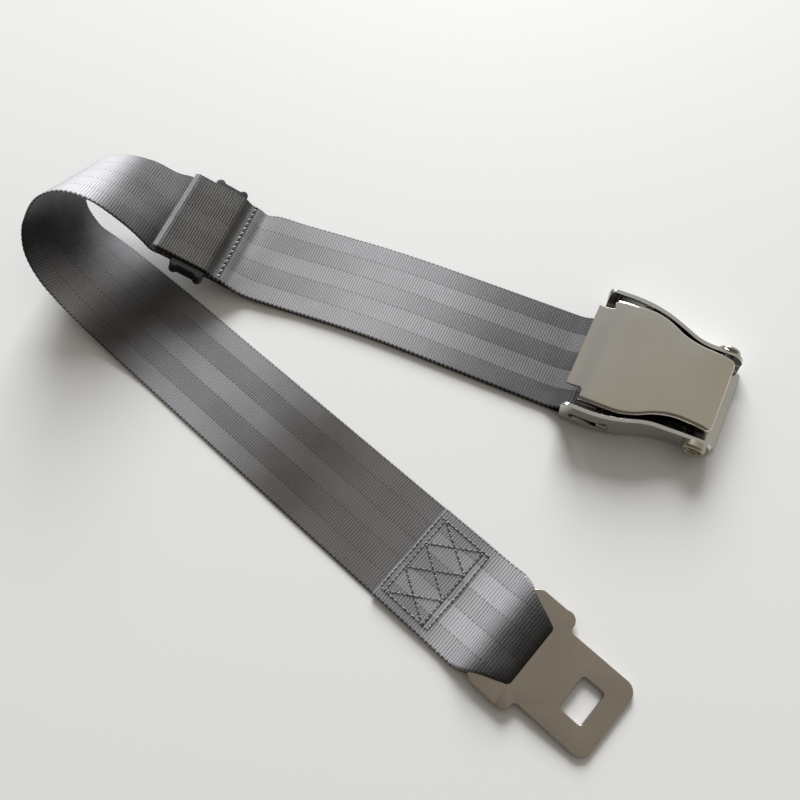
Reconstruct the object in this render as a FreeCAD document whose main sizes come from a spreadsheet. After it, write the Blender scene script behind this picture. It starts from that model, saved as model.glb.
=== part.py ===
import FreeCAD, Part
import os
from math import atan, atan2, cos, degrees, pi, radians, sin, sqrt, tan

# Airline seat belt extender: lift-latch buckle, adjuster bar, folded webbing, web keeper and tongue.
# Frame: X along the buckle towards its mouth, Y across along the hinge pin, Z up from the table.
# The origin lies in the middle of the underside of the buckle frame.

V = FreeCAD.Vector

# Share of a corner's radius by which its arc stays away from the sharp corner
CORNER = 1 - cos(pi / 4)

SIZES = [
    ("web_width", 48.0),
    ("web_thick", 1.2),
    ("layer_gap", 0.3),
    ("frame_plate", 1.8),
    ("frame_half_rear", 30.5),
    ("frame_half_front", 22.7),
    ("frame_half_length", 32.0),
    ("wall_height_rear", 17.5),
    ("wall_height_front", 13.0),
    ("frame_bend_radius", 3.4),
    ("lip_reach", 1.6),
    ("pin_x", 25.0),
    ("pin_z", 9.5),
    ("pin_radius", 2.2),
    ("pin_head_radius", 5.0),
    ("pin_head_thick", 2.2),
    ("collar_thick", 3.6),
    ("hinge_clearance", 0.05),
    ("side_clearance", 0.4),
    ("cover_plate", 1.2),
    ("cover_gap_rear", 2.7),
    ("cover_gap_front", 3.1),
    ("cover_crown", 19.4),
    ("cover_notch", 5.8),
    ("cover_overhang", 1.5),
    ("cover_nose", 4.0),
    ("latch_plate_thick", 3.0),
    ("latch_gap", 2.8),
    ("barrel_radius", 3.5),
    ("tooth_width", 14.4),
    ("tooth_rear_x", 8.6),
    ("spring_wire", 1.0),
    ("bar_radius", 3.2),
    ("bar_x", -13.0),
    ("bar_z", 8.0),
    ("bar_travel", 8.2),
    ("tenon_height", 4.2),
    ("tenon_length", 5.0),
    ("slot_clearance", 0.2),
    ("tongue_plate_thick", 2.2),
    ("blade_width", 35.4),
    ("shoulder_width", 47.2),
    ("window_length", 10.3),
    ("window_width", 15.6),
    ("tip_margin", 8.6),
    ("keeper_length", 17.0),
    ("keeper_bar", 2.0),
    ("keeper_post", 3.9),
    ("keeper_travel", 6.0),
]


def fill_sheet(doc):
    """Write every size to the sheet and return them by name."""
    sheet = doc.addObject("Spreadsheet::Sheet", "sizes")
    for row, (name, size) in enumerate(SIZES, start=1):
        sheet.set("A%d" % row, name)
        sheet.set("B%d" % row, str(size))
        sheet.setAlias("B%d" % row, name)
    doc.recompute()
    sizes = {name: float(sheet.get(name)) for name, _ in SIZES}
    sizes.update(cover_sizes(sizes))
    return sizes


def cover_sizes(s):
    """Outline of the lift cover and half width of the latch, kept clear of the walls of the frame."""
    front = s["frame_half_front"] - s["frame_plate"] - s["cover_gap_front"]
    rear = s["frame_half_rear"] - s["frame_plate"] - s["cover_gap_rear"]
    return {
        "cover_half_rear": rear,
        "cover_half_front": front,
        "cover_lip_half": rear - s["cover_notch"],
        "cover_rear_x": -s["frame_half_length"] - s["cover_overhang"],
        "cover_front_x": s["pin_x"] + s["cover_nose"],
        "latch_half": front - s["cover_plate"] - s["latch_gap"],
    }


# Sketch and body helpers
def new_body(doc, name):
    body = doc.addObject("PartDesign::Body", name)
    body.Label = name
    return body


def plane_of(body, role):
    return [f for f in body.Origin.OriginFeatures if f.Role == role][0]


def sketch_on(body, name, role, offset=0.0):
    """A sketch on one of the body's origin planes, moved along the plane's normal."""
    sketch = body.newObject("Sketcher::SketchObject", name)
    sketch.AttachmentSupport = [(plane_of(body, role), "")]
    sketch.MapMode = "FlatFace"
    sketch.AttachmentOffset = FreeCAD.Placement(V(0, 0, offset), FreeCAD.Rotation())
    return sketch


def steps_of(points):
    """Edges of a closed outline.

    (x, y) is reached by a line, (x, y, mx, my) by an arc through (mx, my), and a list of points by a smooth
    curve through them all, which starts at the point before it.
    """
    edges = []
    last = points[-1]
    start = V(last[0], last[1], 0)
    for point in points:
        if isinstance(point, list):
            curve = Part.BSplineCurve()
            curve.interpolate([start] + [V(x, y, 0) for x, y in point])
            edges.append(curve)
            start = V(point[-1][0], point[-1][1], 0)
            continue
        end = V(point[0], point[1], 0)
        if (end - start).Length > 1e-6:
            if len(point) == 4:
                edges.append(Part.Arc(start, V(point[2], point[3], 0), end))
            else:
                edges.append(Part.LineSegment(start, end))
        start = end
    return edges


def draw(sketch, points):
    for edge in steps_of(points):
        sketch.addGeometry(edge, False)


def draw_circle(sketch, x, y, radius):
    sketch.addGeometry(Part.Circle(V(x, y, 0), V(0, 0, 1), radius), False)


def pad(body, name, sketch, length, both=False, bound=None):
    feature = body.newObject("PartDesign::Pad", name)
    feature.Profile = sketch
    feature.Length = length
    if both:
        feature.Midplane = True
    if bound:
        feature.setExpression("Length", bound)
    sketch.Visibility = False
    return feature


def pocket(body, name, sketch, both=False, up=False, length=None):
    """Cut along the sketch's normal: both ways, up, or down, by a length or through all."""
    feature = body.newObject("PartDesign::Pocket", name)
    feature.Profile = sketch
    if length is None:
        feature.Type = 1
    else:
        feature.Length = length
    feature.Midplane = both
    feature.Reversed = up
    sketch.Visibility = False
    return feature


def round_edges(body, name, base, radius, chosen):
    """Fillet the edges of a feature that the test picks."""
    names = ["Edge%d" % (i + 1) for i, e in enumerate(base.Shape.Edges) if chosen(e)]
    feature = body.newObject("PartDesign::Fillet", name)
    feature.Base = (base, names)
    feature.Radius = radius
    return feature


def s_side(half_a, half_b, x_a, x_b):
    """Two tangent arcs from (x_a, half_a) to (x_b, half_b), as outline points without the first one."""
    run = x_b - x_a
    drop = half_a - half_b
    radius = (run * run + drop * drop) / (4.0 * drop)
    turn = atan2(run / 2.0, radius - drop / 2.0) / 2.0
    mid = ((x_a + x_b) / 2.0, (half_a + half_b) / 2.0)
    first = (x_a + radius * sin(turn), half_a - radius + radius * cos(turn))
    second = (x_b - radius * sin(turn), half_b + radius - radius * cos(turn))
    return [(mid[0], mid[1], first[0], first[1]), (x_b, half_b, second[0], second[1])]


def mirrored(points):
    """The other side of an outline that runs from rear to front, so that it runs back to the rear."""
    back = []
    for k in range(len(points) - 1, 0, -1):
        here, before = points[k], points[k - 1]
        if len(here) == 4:
            back.append((before[0], -before[1], here[2], -here[3]))
        else:
            back.append((before[0], -before[1]))
    return back


def waisted(half_a, half_b, x_rear, x_a, x_b, x_front, grow=0.0, corner=0.0):
    """Closed outline that narrows from rear to front in an S on each side, its front corners rounded."""
    a, b = half_a + grow, half_b + grow
    side = [(x_rear, a), (x_a, a)] + s_side(a, b, x_a, x_b) + [(x_front - corner, b)]
    if not corner:
        return side + [(x_front, -b)] + mirrored(side)
    cut = CORNER * corner
    side.append((x_front, b - corner, x_front - cut, b - cut))
    return side + [(x_front, -b + corner)] + mirrored(side)


def wall_turns(s):
    """Where the walls of the frame start and stop narrowing."""
    return -0.67 * s["frame_half_length"], s["pin_x"] - s["pin_head_radius"] - 0.2


def wall_half(s, x):
    """Half width over the walls of the frame at x."""
    a, b = wall_turns(s)
    f = min(1.0, max(0.0, (x - a) / (b - a)))
    share = 2 * f * f if f < 0.5 else 1 - 2 * (1 - f) ** 2
    return s["frame_half_rear"] - share * (s["frame_half_rear"] - s["frame_half_front"])


# Buckle frame: channel of bent plate with an open rear, a raised rear cross bar and a lip at the mouth
def buckle_frame(doc, s):
    body = new_body(doc, "buckle_frame")
    half = s["frame_half_length"]
    plate = s["frame_plate"]
    turn_a, turn_b = wall_turns(s)
    rear, front = s["frame_half_rear"], s["frame_half_front"]
    sketch = sketch_on(body, "frame_outline", "XY_Plane")
    draw(sketch, waisted(rear, front, -half, turn_a, turn_b, half))
    block = pad(body, "frame_block", sketch, s["wall_height_rear"], bound="sizes.wall_height_rear")
    doc.recompute()
    low = round_edges(
        body, "frame_bends", block, s["frame_bend_radius"],
        lambda e: e.BoundBox.ZMax < 0.01 and e.BoundBox.XLength > 1.0,
    )
    doc.recompute()
    sketch = sketch_on(body, "frame_inside", "XY_Plane", plate)
    draw(sketch, waisted(rear, front, -half - 5, turn_a, turn_b, half + 5, -plate))
    hollow = pocket(body, "frame_channel", sketch, up=True)
    doc.recompute()
    inner_radius = s["frame_bend_radius"] - plate
    round_edges(
        body, "frame_inner_bends", hollow, inner_radius,
        lambda e: abs(e.BoundBox.ZMax - plate) < 0.01 and e.BoundBox.ZLength < 0.01
        and e.BoundBox.XLength > 1.0 and abs(e.BoundBox.Center.y) > front - 2 * plate,
    )
    doc.recompute()
    # Wall tops: high at the rear, lower past the middle, rounded off round the pin
    high, lowered = s["wall_height_rear"], s["wall_height_front"]
    nose = half - s["pin_x"]
    sketch = sketch_on(body, "frame_wall_tops", "XZ_Plane")
    draw(sketch, [
        (-half - 3, high - 3.0),
        (-half, high - 3.0),
        (-half + 3.0, high, -half + 0.9, high - 0.9),
        (-4.0, high),
        (8.0, (high + lowered) / 2.0, 2.5, high - 0.55),
        (18.0, lowered, 12.6, lowered + 0.6),
        (s["pin_x"], lowered),
        (half, s["pin_z"] - 3.6, s["pin_x"] + 0.76 * nose, lowered - 1.9),
        (half, plate),
        (half + 8, plate),
        (half + 8, high + 8),
        (-half - 3, high + 8),
    ])
    pocket(body, "frame_wall_trim", sketch, both=True)
    # Window in the base for the webbing, open to the rear
    lift = s["web_thick"] + 0.4
    edge = s["bar_x"] + 7.0
    sketch = sketch_on(body, "frame_window", "XZ_Plane")
    draw(sketch, [(-half - 3, -5), (edge, -5), (edge, lift), (-half - 3, lift)])
    pocket(body, "frame_window_low", sketch, both=True)
    inside = rear - plate
    ledge = plate + 0.15
    mid = (turn_a + edge) / 2
    wide, mid_wide, end_wide = rear - ledge, wall_half(s, mid) - ledge, wall_half(s, edge) - ledge
    sketch = sketch_on(body, "frame_window_plan", "XY_Plane", -1.0)
    draw(sketch, [
        (-half - 3, -wide),
        (turn_a, -wide),
        (edge, -end_wide, mid, -mid_wide),
        (edge, end_wide),
        (turn_a, wide, mid, mid_wide),
        (-half - 3, wide),
    ])
    pocket(body, "frame_window_cut", sketch, up=True, length=s["frame_bend_radius"] + 1.0)
    # Rear cross bar with its upturned edge, which grips the tail
    bar_top = lift + plate
    flange_rear, flange_front = -half + 3.8, -half + 3.8 + plate
    flange_top = s["bar_z"] - 1.5
    sketch = sketch_on(body, "frame_cross_bar", "XZ_Plane")
    draw(sketch, [
        (-half, lift),
        (flange_front, lift),
        (flange_front, flange_top - plate / 2),
        (flange_rear, flange_top - plate / 2, (flange_front + flange_rear) / 2, flange_top),
        (flange_rear, bar_top + 1.0),
        (flange_rear - 1.0, bar_top, flange_rear - 0.3, bar_top + 0.3),
        (-half, bar_top),
    ])
    cross = pad(body, "frame_cross_pad", sketch, 2 * inside, both=True)
    # Slots for the adjuster bar
    slot_half = s["tenon_height"] / 2 + s["slot_clearance"]
    slot_front = s["bar_x"] + s["tenon_length"] / 2 + s["slot_clearance"]
    slot_rear = s["bar_x"] - s["bar_travel"] - s["tenon_length"] / 2 - 2.0
    z = s["bar_z"]
    sketch = sketch_on(body, "frame_slots", "XZ_Plane")
    draw(sketch, [
        (slot_rear, z - slot_half),
        (slot_front, z - slot_half),
        (slot_front, z + slot_half),
        (slot_rear, z + slot_half),
        (slot_rear, z - slot_half, slot_rear - slot_half, z),
    ])
    pocket(body, "frame_slot_cut", sketch, both=True)
    sketch = sketch_on(body, "frame_pin_holes", "XZ_Plane")
    draw_circle(sketch, s["pin_x"], s["pin_z"], s["pin_radius"] + 0.02)
    pocket(body, "frame_pin_cut", sketch, both=True)
    # Lip of the base at the mouth
    reach = s["lip_reach"]
    lip_half = front - s["frame_bend_radius"]
    sketch = sketch_on(body, "frame_lip", "XY_Plane")
    draw(sketch, [
        (half - 1, -lip_half),
        (half, -lip_half),
        (half + reach, -lip_half + reach, half + (1 - CORNER) * reach, -lip_half + CORNER * reach),
        (half + reach, lip_half - reach),
        (half, lip_half, half + (1 - CORNER) * reach, lip_half - CORNER * reach),
        (half - 1, lip_half),
    ])
    pad(body, "frame_lip_pad", sketch, plate, bound="sizes.frame_plate")
    return body


# Hinge pin with a domed head on the far side
def pivot_pin(doc, s):
    body = new_body(doc, "pivot_pin")
    outer = s["frame_half_front"]
    r, head, thick = s["pin_radius"], s["pin_head_radius"], s["pin_head_thick"]
    near = -outer - s["collar_thick"] + 1.2
    sketch = sketch_on(body, "pin_outline", "XY_Plane")
    draw(sketch, [
        (0, near),
        (r - 0.4, near),
        (r, near + 0.4),
        (r, outer),
        (head, outer),
        (head, outer + 0.5 * thick),
        (0.45 * head, outer + thick, 0.85 * head, outer + 0.86 * thick),
        (0, outer + thick),
    ])
    turned = body.newObject("PartDesign::Revolution", "pin_turned")
    turned.Profile = sketch
    turned.ReferenceAxis = (sketch, ["V_Axis"])
    turned.Angle = 360
    body.Placement = FreeCAD.Placement(V(s["pin_x"], 0, s["pin_z"]), FreeCAD.Rotation())
    body.setExpression("Placement.Base.x", "sizes.pin_x")
    return body


# Pressed collar that holds the pin on the near side, with a hollow face
def pivot_collar(doc, s):
    body = new_body(doc, "pivot_collar")
    outer = s["frame_half_front"]
    r, head, thick = s["pin_radius"], s["pin_head_radius"], s["collar_thick"]
    sketch = sketch_on(body, "collar_outline", "XY_Plane")
    draw(sketch, [
        (r + 0.02, -outer),
        (head, -outer),
        (head, -outer - 0.6 * thick),
        (head - 1.1, -outer - thick, head - 0.3, -outer - 0.87 * thick),
        (r + 0.9, -outer - thick + 0.3),
        (r + 0.5, -outer - thick + 1.4),
        (r + 0.02, -outer - thick + 1.4),
    ])
    turned = body.newObject("PartDesign::Revolution", "collar_turned")
    turned.Profile = sketch
    turned.ReferenceAxis = (sketch, ["V_Axis"])
    turned.Angle = 360
    body.Placement = FreeCAD.Placement(V(s["pin_x"], 0, s["pin_z"]), FreeCAD.Rotation())
    body.setExpression("Placement.Base.x", "sizes.pin_x")
    return body


# Two sleeves that keep the cover in the middle of the pin
def pivot_spacers(doc, s):
    body = new_body(doc, "pivot_spacers")
    inner = s["frame_half_front"] - s["frame_plate"]
    cover = s["cover_half_front"] + s["side_clearance"] / 2
    sketch = sketch_on(body, "spacer_outline", "XZ_Plane", -inner + 0.05)
    draw_circle(sketch, 0, 0, s["pin_radius"] + 1.1)
    draw_circle(sketch, 0, 0, s["pin_radius"] + s["hinge_clearance"])
    pad(body, "spacer_far", sketch, inner - 0.05 - cover)
    doc.recompute()
    if body.Tip.Shape.BoundBox.YMax > inner:
        body.Tip.Reversed = True
    body.Placement = FreeCAD.Placement(V(s["pin_x"], 0, s["pin_z"]), FreeCAD.Rotation())
    doc.recompute()
    pair = doc.addObject("Part::Mirroring", "spacer_near")
    pair.Source = body
    pair.Normal = V(0, 1, 0)
    both = doc.addObject("Part::Compound", "spacer_pair")
    both.Links = [body, pair]
    body.Label = "spacer_sleeve"
    both.Label = "pivot_spacers"
    return both


# Lift cover: sheet pressing with a crowned top, side flanges, two hinge ears and a free lip at the rear
def cover_top(s, down):
    """Points of the top surface from rear to front, lowered by a thickness."""
    crown = s["cover_crown"] - down
    rear, front = s["cover_rear_x"], s["cover_front_x"]
    return [
        (rear, crown - 2.0),
        [
            (rear + 4.0, crown - 1.7),
            (rear + 8.0, crown - 0.75),
            (rear + 14.0, crown - 0.1),
            (rear + 26.0, crown),
            (front - 21.0, crown - 0.35),
            (front - 11.0, crown - 1.1),
            (front - 6.0, crown - 2.0),
            (front - 2.5, crown - 3.2),
            (front, crown - 4.6),
        ],
    ]


def prism(points, role, low, high):
    """A closed outline pushed along Y (role XZ) or Z (role XY) between two values."""
    wire = Part.Wire([e.toShape() for e in steps_of(points)])
    face = Part.Face(wire)
    if role == "XZ":
        face.rotate(V(0, 0, 0), V(1, 0, 0), 90)
        face.translate(V(0, low, 0))
        return face.extrude(V(0, high - low, 0))
    face.translate(V(0, 0, low))
    return face.extrude(V(0, 0, high - low))


def lift_cover(doc, s):
    sheet = s["cover_plate"]
    rear, front = s["cover_rear_x"], s["cover_front_x"]
    a, b = s["cover_half_rear"], s["cover_half_front"]
    ear = s["barrel_radius"] + 0.1
    pin_x, pin_z = s["pin_x"], s["pin_z"]
    notch = rear + 7.2
    turn_a, turn_b = -13.5, 16.5
    crown = s["cover_crown"]
    lower_edge = crown - 5.4
    # Crowned block with rounded long edges, then the same block one sheet smaller to hollow it
    shell = []
    for inset, reach, radius in ((0.0, 0.0, 1.9), (sheet, 4.0, 1.9 - sheet)):
        top = cover_top(s, inset)
        side = top + [(front, -5), (rear, -5)]
        if reach:
            side = [(rear - reach, top[0][1])] + top + [(front + reach, top[-1][-1][1]), (front + reach, -5), (rear - reach, -5)]
        corner = 0.0 if reach else 3.0
        plan = waisted(a, b, rear - reach, turn_a, turn_b, front + reach, -inset, corner)
        block = prism(side, "XZ", -a - 2, a + 2).common(prism(plan, "XY", -8, 30))
        rim = [
            e for e in block.Edges
            if e.BoundBox.ZMin > crown - 6.5 and abs(e.BoundBox.Center.y) > b - 3 - inset and e.BoundBox.XLength > 0.5
        ]
        shell.append(block.makeFillet(radius, rim))
    cover = shell[0].cut(shell[1])
    # Side view of the flanges: shallow at the rear, deeper towards the ears
    flange_side = [
        (rear - 1, crown + 2),
        (front + 1, crown + 2),
        (front + 1, pin_z + 2.6),
        (front - 0.6, pin_z + 1.6),
        (pin_x + ear, pin_z),
        (pin_x - ear, pin_z, pin_x, pin_z - ear),
        (pin_x - ear - 2.5, pin_z + 2.2, pin_x - ear - 0.8, pin_z + 1.5),
        (s["bar_x"] + 10.0, lower_edge),
        (notch, lower_edge),
        (rear - 1, lower_edge),
    ]
    cover = cover.common(prism(flange_side, "XZ", -a - 2, a + 2))
    lip_half = s["cover_lip_half"]
    for side in (1, -1):
        corner = prism([
            (rear - 8, side * lip_half),
            (notch - 1.5, side * lip_half),
            (notch, side * (lip_half + 1.5), notch - 0.45, side * (lip_half + 0.45)),
            (notch, side * (a + 3)),
            (rear - 8, side * (a + 3)),
        ], "XY", -5, 30)
        cover = cover.cut(corner)
    hole = Part.makeCylinder(s["pin_radius"] + s["hinge_clearance"], 2 * a, V(pin_x, -a, pin_z), V(0, 1, 0))
    cover = cover.cut(hole)
    # Drive lugs inside the ears, which lift the latch after a free turn
    lug_in = s["latch_half"] + 0.25
    for side in (1, -1):
        lug = sector(s, 252, 282, lug_in, b - sheet + 0.1, side)
        cover = cover.fuse(lug)
    cover = cover.removeSplitter()
    feature = doc.addObject("Part::Feature", "lift_cover")
    feature.Label = "lift_cover"
    feature.Shape = cover
    feature.Placement = FreeCAD.Placement(V(0, 0, 0), FreeCAD.Rotation())
    return feature


def sector(s, start, end, low, high, side):
    """Part of a ring round the pin between two angles, in degrees from +X towards +Z."""
    inner = s["pin_radius"] + 0.25
    outer = s["barrel_radius"]
    width = high - low
    base = low if side > 0 else -high
    ring = Part.makeCylinder(outer, width, V(0, 0, 0), V(0, 0, 1), end - start)
    ring = ring.cut(Part.makeCylinder(inner, width, V(0, 0, 0)))
    ring.rotate(V(0, 0, 0), V(0, 0, 1), start)
    ring.rotate(V(0, 0, 0), V(1, 0, 0), 90)
    ring.translate(V(s["pin_x"], base + width, s["pin_z"]))
    return ring


# Latch plate: barrel on the pin, plate to the rear and a ramped tooth that drops into the tongue's window
def latch_plate(doc, s):
    body = new_body(doc, "latch_plate")
    x, z, r = s["pin_x"], s["pin_z"], s["barrel_radius"]
    thick = s["latch_plate_thick"]
    under = z - 1.2
    top = under + thick
    tooth = s["tooth_rear_x"]
    low = s["frame_plate"] + 0.6
    sketch = sketch_on(body, "latch_side", "XZ_Plane")
    draw(sketch, [
        (tooth + 5.0, under),
        (x - sqrt(r * r - 1.44), under),
        (x - sqrt(r * r - (top - z) ** 2), top, x + r, z),
        (tooth + 1.2, top),
        (tooth, top - 1.2, tooth + 0.35, top - 0.35),
        (tooth, under),
    ])
    pad(body, "latch_sheet", sketch, 2 * s["latch_half"], both=True, bound=(
        "2 * (sizes.frame_half_front - sizes.frame_plate - sizes.cover_gap_front - sizes.cover_plate"
        " - sizes.latch_gap)"))
    sketch = sketch_on(body, "latch_tooth_side", "XZ_Plane")
    draw(sketch, [
        (tooth, under + 0.5),
        (tooth, low + 0.3),
        (tooth + 0.3, low),
        (tooth + 1.9, low),
        (tooth + 7.4, under),
        (tooth + 7.4, under + 0.5),
    ])
    pad(body, "latch_tooth", sketch, s["tooth_width"], both=True, bound="sizes.tooth_width")
    sketch = sketch_on(body, "latch_bore_side", "XZ_Plane")
    draw_circle(sketch, x, z, s["pin_radius"] + s["hinge_clearance"])
    pocket(body, "latch_bore", sketch, both=True)
    # Gap in the barrel for the coil of the spring
    gap = 4.4
    sketch = sketch_on(body, "latch_gap_plan", "XY_Plane", -5.0)
    draw(sketch, [(x - r - 1.2, -gap), (x + r + 2, -gap), (x + r + 2, gap), (x - r - 1.2, gap)])
    pocket(body, "latch_gap", sketch, up=True)
    # Lugs at the barrel's ends, driven by those of the cover
    lug = sketch_on(body, "latch_lug_side", "XZ_Plane")
    inner, outer = s["pin_radius"] + 0.25, r
    start, end = radians(150), radians(178)
    mid = (start + end) / 2
    draw(lug, [
        (x + inner * cos(start), z + inner * sin(start)),
        (x + outer * cos(start), z + outer * sin(start)),
        (x + outer * cos(end), z + outer * sin(end), x + outer * cos(mid), z + outer * sin(mid)),
        (x + inner * cos(end), z + inner * sin(end)),
        (x + inner * cos(start), z + inner * sin(start), x + inner * cos(mid), z + inner * sin(mid)),
    ])
    reach = s["cover_half_front"] - s["cover_plate"] - 0.25
    pad(body, "latch_lugs", lug, 2 * reach, both=True)
    doc.recompute()
    sketch = sketch_on(body, "latch_gap_again", "XY_Plane", -5.0)
    draw(sketch, [(x - r - 1.2, -gap), (x + r + 2, -gap), (x + r + 2, gap), (x - r - 1.2, gap)])
    pocket(body, "latch_gap_clear", sketch, up=True)
    return body


# Torsion spring: coil round the pin, one leg on the latch plate and one under the front of the cover
def latch_spring(doc, s):
    wire = s["spring_wire"]
    x, z = s["pin_x"], s["pin_z"]
    coil = s["pin_radius"] + 0.15 + wire / 2
    pitch = wire + 0.15
    steps = 12
    # The coil leaves the rear leg at its top and ends 330 degrees past its fourth turn
    count = 4 * steps + 11
    width = pitch * count / steps
    plate_top = z - 1.2 + s["latch_plate_thick"]
    low, high = plate_top + wire / 2 + 0.1, z + coil
    points = [
        V(s["tooth_rear_x"] + 5.0, -width / 2 - 0.6, low),
        V(x - 8.0, -width / 2 - 0.5, low + 0.03),
        V(x - 5.0, -width / 2 - 0.3, low + 0.3 * (high - low)),
        V(x - 2.5, -width / 2 - 0.15, low + 0.78 * (high - low)),
    ]
    for k in range(count + 1):
        angle = radians(90 - 360.0 * k / steps)
        points.append(V(x + coil * cos(angle), -width / 2 + pitch * k / steps, z + coil * sin(angle)))
    last = points[-1]
    for run in (1.0, 2.2, 3.6):
        points.append(last + V(run * cos(radians(30)), 0.12 * run, run * sin(radians(30))))
    path = Part.BSplineCurve()
    path.interpolate(points)
    edge = path.toShape()
    start = points[0]
    direction = path.tangent(path.FirstParameter)[0]
    section = Part.Wire([Part.Circle(start, direction, wire / 2).toShape()])
    pipe = Part.Wire([edge]).makePipeShell([section], True, True)
    feature = doc.addObject("Part::Feature", "latch_spring")
    feature.Label = "latch_spring"
    feature.Shape = pipe
    return feature


# Adjuster bar: round bar with flat-sided tenons that slide in the slots of the walls
def adjuster_bar(doc, s):
    body = new_body(doc, "adjuster_bar")
    inner = wall_half(s, s["bar_x"] + s["bar_radius"]) - s["frame_plate"] - s["side_clearance"] / 2
    sketch = sketch_on(body, "bar_round", "XZ_Plane")
    draw_circle(sketch, 0, 0, s["bar_radius"])
    pad(body, "bar_body", sketch, 2 * inner, both=True)
    long, tall = s["tenon_length"] / 2, s["tenon_height"] / 2
    sketch = sketch_on(body, "bar_tenon", "XZ_Plane")
    draw(sketch, [
        (-long + 1, -tall),
        (long - 1, -tall),
        (long, -tall + 1, long - 0.3, -tall + 0.3),
        (long, tall - 1),
        (long - 1, tall, long - 0.3, tall - 0.3),
        (-long + 1, tall),
        (-long, tall - 1, -long + 0.3, tall - 0.3),
        (-long, -tall + 1),
        (-long + 1, -tall, -long + 0.3, -tall + 0.3),
    ])
    reach = s["frame_half_rear"] - 0.2
    pad(body, "bar_tenons", sketch, 2 * reach, both=True)
    body.Placement = FreeCAD.Placement(V(s["bar_x"], 0, s["bar_z"]), FreeCAD.Rotation())
    body.setExpression("Placement.Base.x", "sizes.bar_x")
    return body


# Places of the soft strap: where it lies in the buckle, the hem, the bend and the second leg. The places of
# the hem, the bend and the leg hold for webbing of the laid width and grow with a wider one.
LAID_WIDTH = 48.0
STRAP_Y = -4.2
HEM_ORIGIN = V(-212.8, -10.6, 7.4)
HEM_PITCH = 25.0
HEM_ROLL = -7.5
HEM_YAW = 97.0
HEM_FOLD = -31.0
LEG_START = V(-205.5, -71.4, 0)
LEG_ANGLE = -16.2
FLAP_AT = 144.5
DIVE_AT = FLAP_AT + 64.6

# Bend of the webbing between hem and second leg: middle of the strip, then yaw and roll of its width
BEND = [
    (-246.0, -12.5, 24.0, 100.0, -12.5),
    (-259.1, -12.5, 33.3, 105.7, -21.0),
    (-269.3, -13.7, 37.8, 108.6, -27.2),
    (-285.0, -19.0, 39.0, 109.6, -34.8),
    (-293.2, -25.1, 34.9, 107.5, -38.1),
    (-296.8, -36.1, 23.5, 98.0, -40.2),
    (-292.6, -42.4, 16.9, 87.9, -35.8),
    (-279.9, -49.4, 10.5, 78.5, -22.5),
    (-269.7, -52.8, 7.6, 76.1, -15.5),
    (-253.7, -57.6, 4.4, 74.6, -8.1),
    (-237.0, -62.4, 2.2, 74.0, -3.3),
    (-220.0, -67.2, 1.0, 73.8, -0.8),
]


def across_of(yaw, roll):
    y, r = radians(yaw), radians(roll)
    return V(cos(y) * cos(r), sin(y) * cos(r), sin(r))


def laid(s):
    """Scale of the soft strap's places."""
    return s["web_width"] / LAID_WIDTH


def hem_frame(s):
    """Placement of the hem: x along the strap towards the buckle, y across, z out of the strap's top."""
    across = across_of(HEM_YAW, HEM_ROLL)
    p = radians(HEM_PITCH)
    along = V(cos(p), 0, -sin(p))
    along = along - across * along.dot(across)
    along.normalize()
    normal = along.cross(across)
    return FreeCAD.Placement(HEM_ORIGIN * laid(s), FreeCAD.Rotation(along, across, normal, "XYZ"))


def leg_frame(s):
    """Placement of the second leg: x along it from the end of the bend, y across, z up from the table."""
    return FreeCAD.Placement(LEG_START * laid(s), FreeCAD.Rotation(V(0, 0, 1), LEG_ANGLE))


def eased(rows, spans, u):
    """Values at the length u on curves that pass through the rows without overshooting them."""
    last = len(spans) - 1
    k = 0
    while k < last - 1 and u > spans[k + 1]:
        k += 1
    run = spans[k + 1] - spans[k]
    f = min(1.0, max(0.0, (u - spans[k]) / run))
    values = []
    for column in range(len(rows[0])):
        line = [row[column] for row in rows]
        rises = [(line[i + 1] - line[i]) / (spans[i + 1] - spans[i]) for i in range(last)]
        slopes = []
        for i in (k, k + 1):
            if i in (0, last):
                slopes.append(rises[min(i, last - 1)])
            elif rises[i - 1] * rises[i] <= 0:
                slopes.append(0.0)
            else:
                slopes.append(2 * rises[i - 1] * rises[i] / (rises[i - 1] + rises[i]))
        values.append(
            (2 * f ** 3 - 3 * f ** 2 + 1) * line[k] + (f ** 3 - 2 * f ** 2 + f) * run * slopes[0]
            + (3 * f ** 2 - 2 * f ** 3) * line[k + 1] + (f ** 3 - f ** 2) * run * slopes[1])
    return values


def ribbon(stations, thick, per, start, end):
    """Solid strip through stations of (middle, unit vector across, width), which leaves and ends along start and end."""
    spans = [0.0]
    for k in range(1, len(stations)):
        spans.append(spans[-1] + (stations[k][0] - stations[k - 1][0]).Length)
    rows = [(c.x, c.y, c.z, a.x, a.y, a.z, w) for c, a, w in stations]
    sections = []
    total = per * (len(stations) - 1)
    for k in range(total + 1):
        u = spans[k // per] if k % per == 0 else (
            spans[k // per] + (spans[k // per + 1] - spans[k // per]) * (k % per) / per)
        row = eased(rows, spans, u)
        middle, across, width = V(*row[:3]), V(*row[3:6]), row[6]
        before = eased(rows, spans, max(u - 0.5, 0.0))
        after = eased(rows, spans, min(u + 0.5, spans[-1]))
        along = V(*after[:3]) - V(*before[:3])
        if k == 0:
            along = start
        if k == total:
            along = end
        along.normalize()
        across = across - along * across.dot(along)
        across.normalize()
        half, lift = across * (width / 2), along.cross(across) * (thick / 2)
        corners = [middle + half + lift, middle - half + lift, middle - half - lift, middle + half - lift]
        sections.append(Part.makePolygon(corners + [corners[0]]))
    return Part.makeLoft(sections, True, True)


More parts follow.
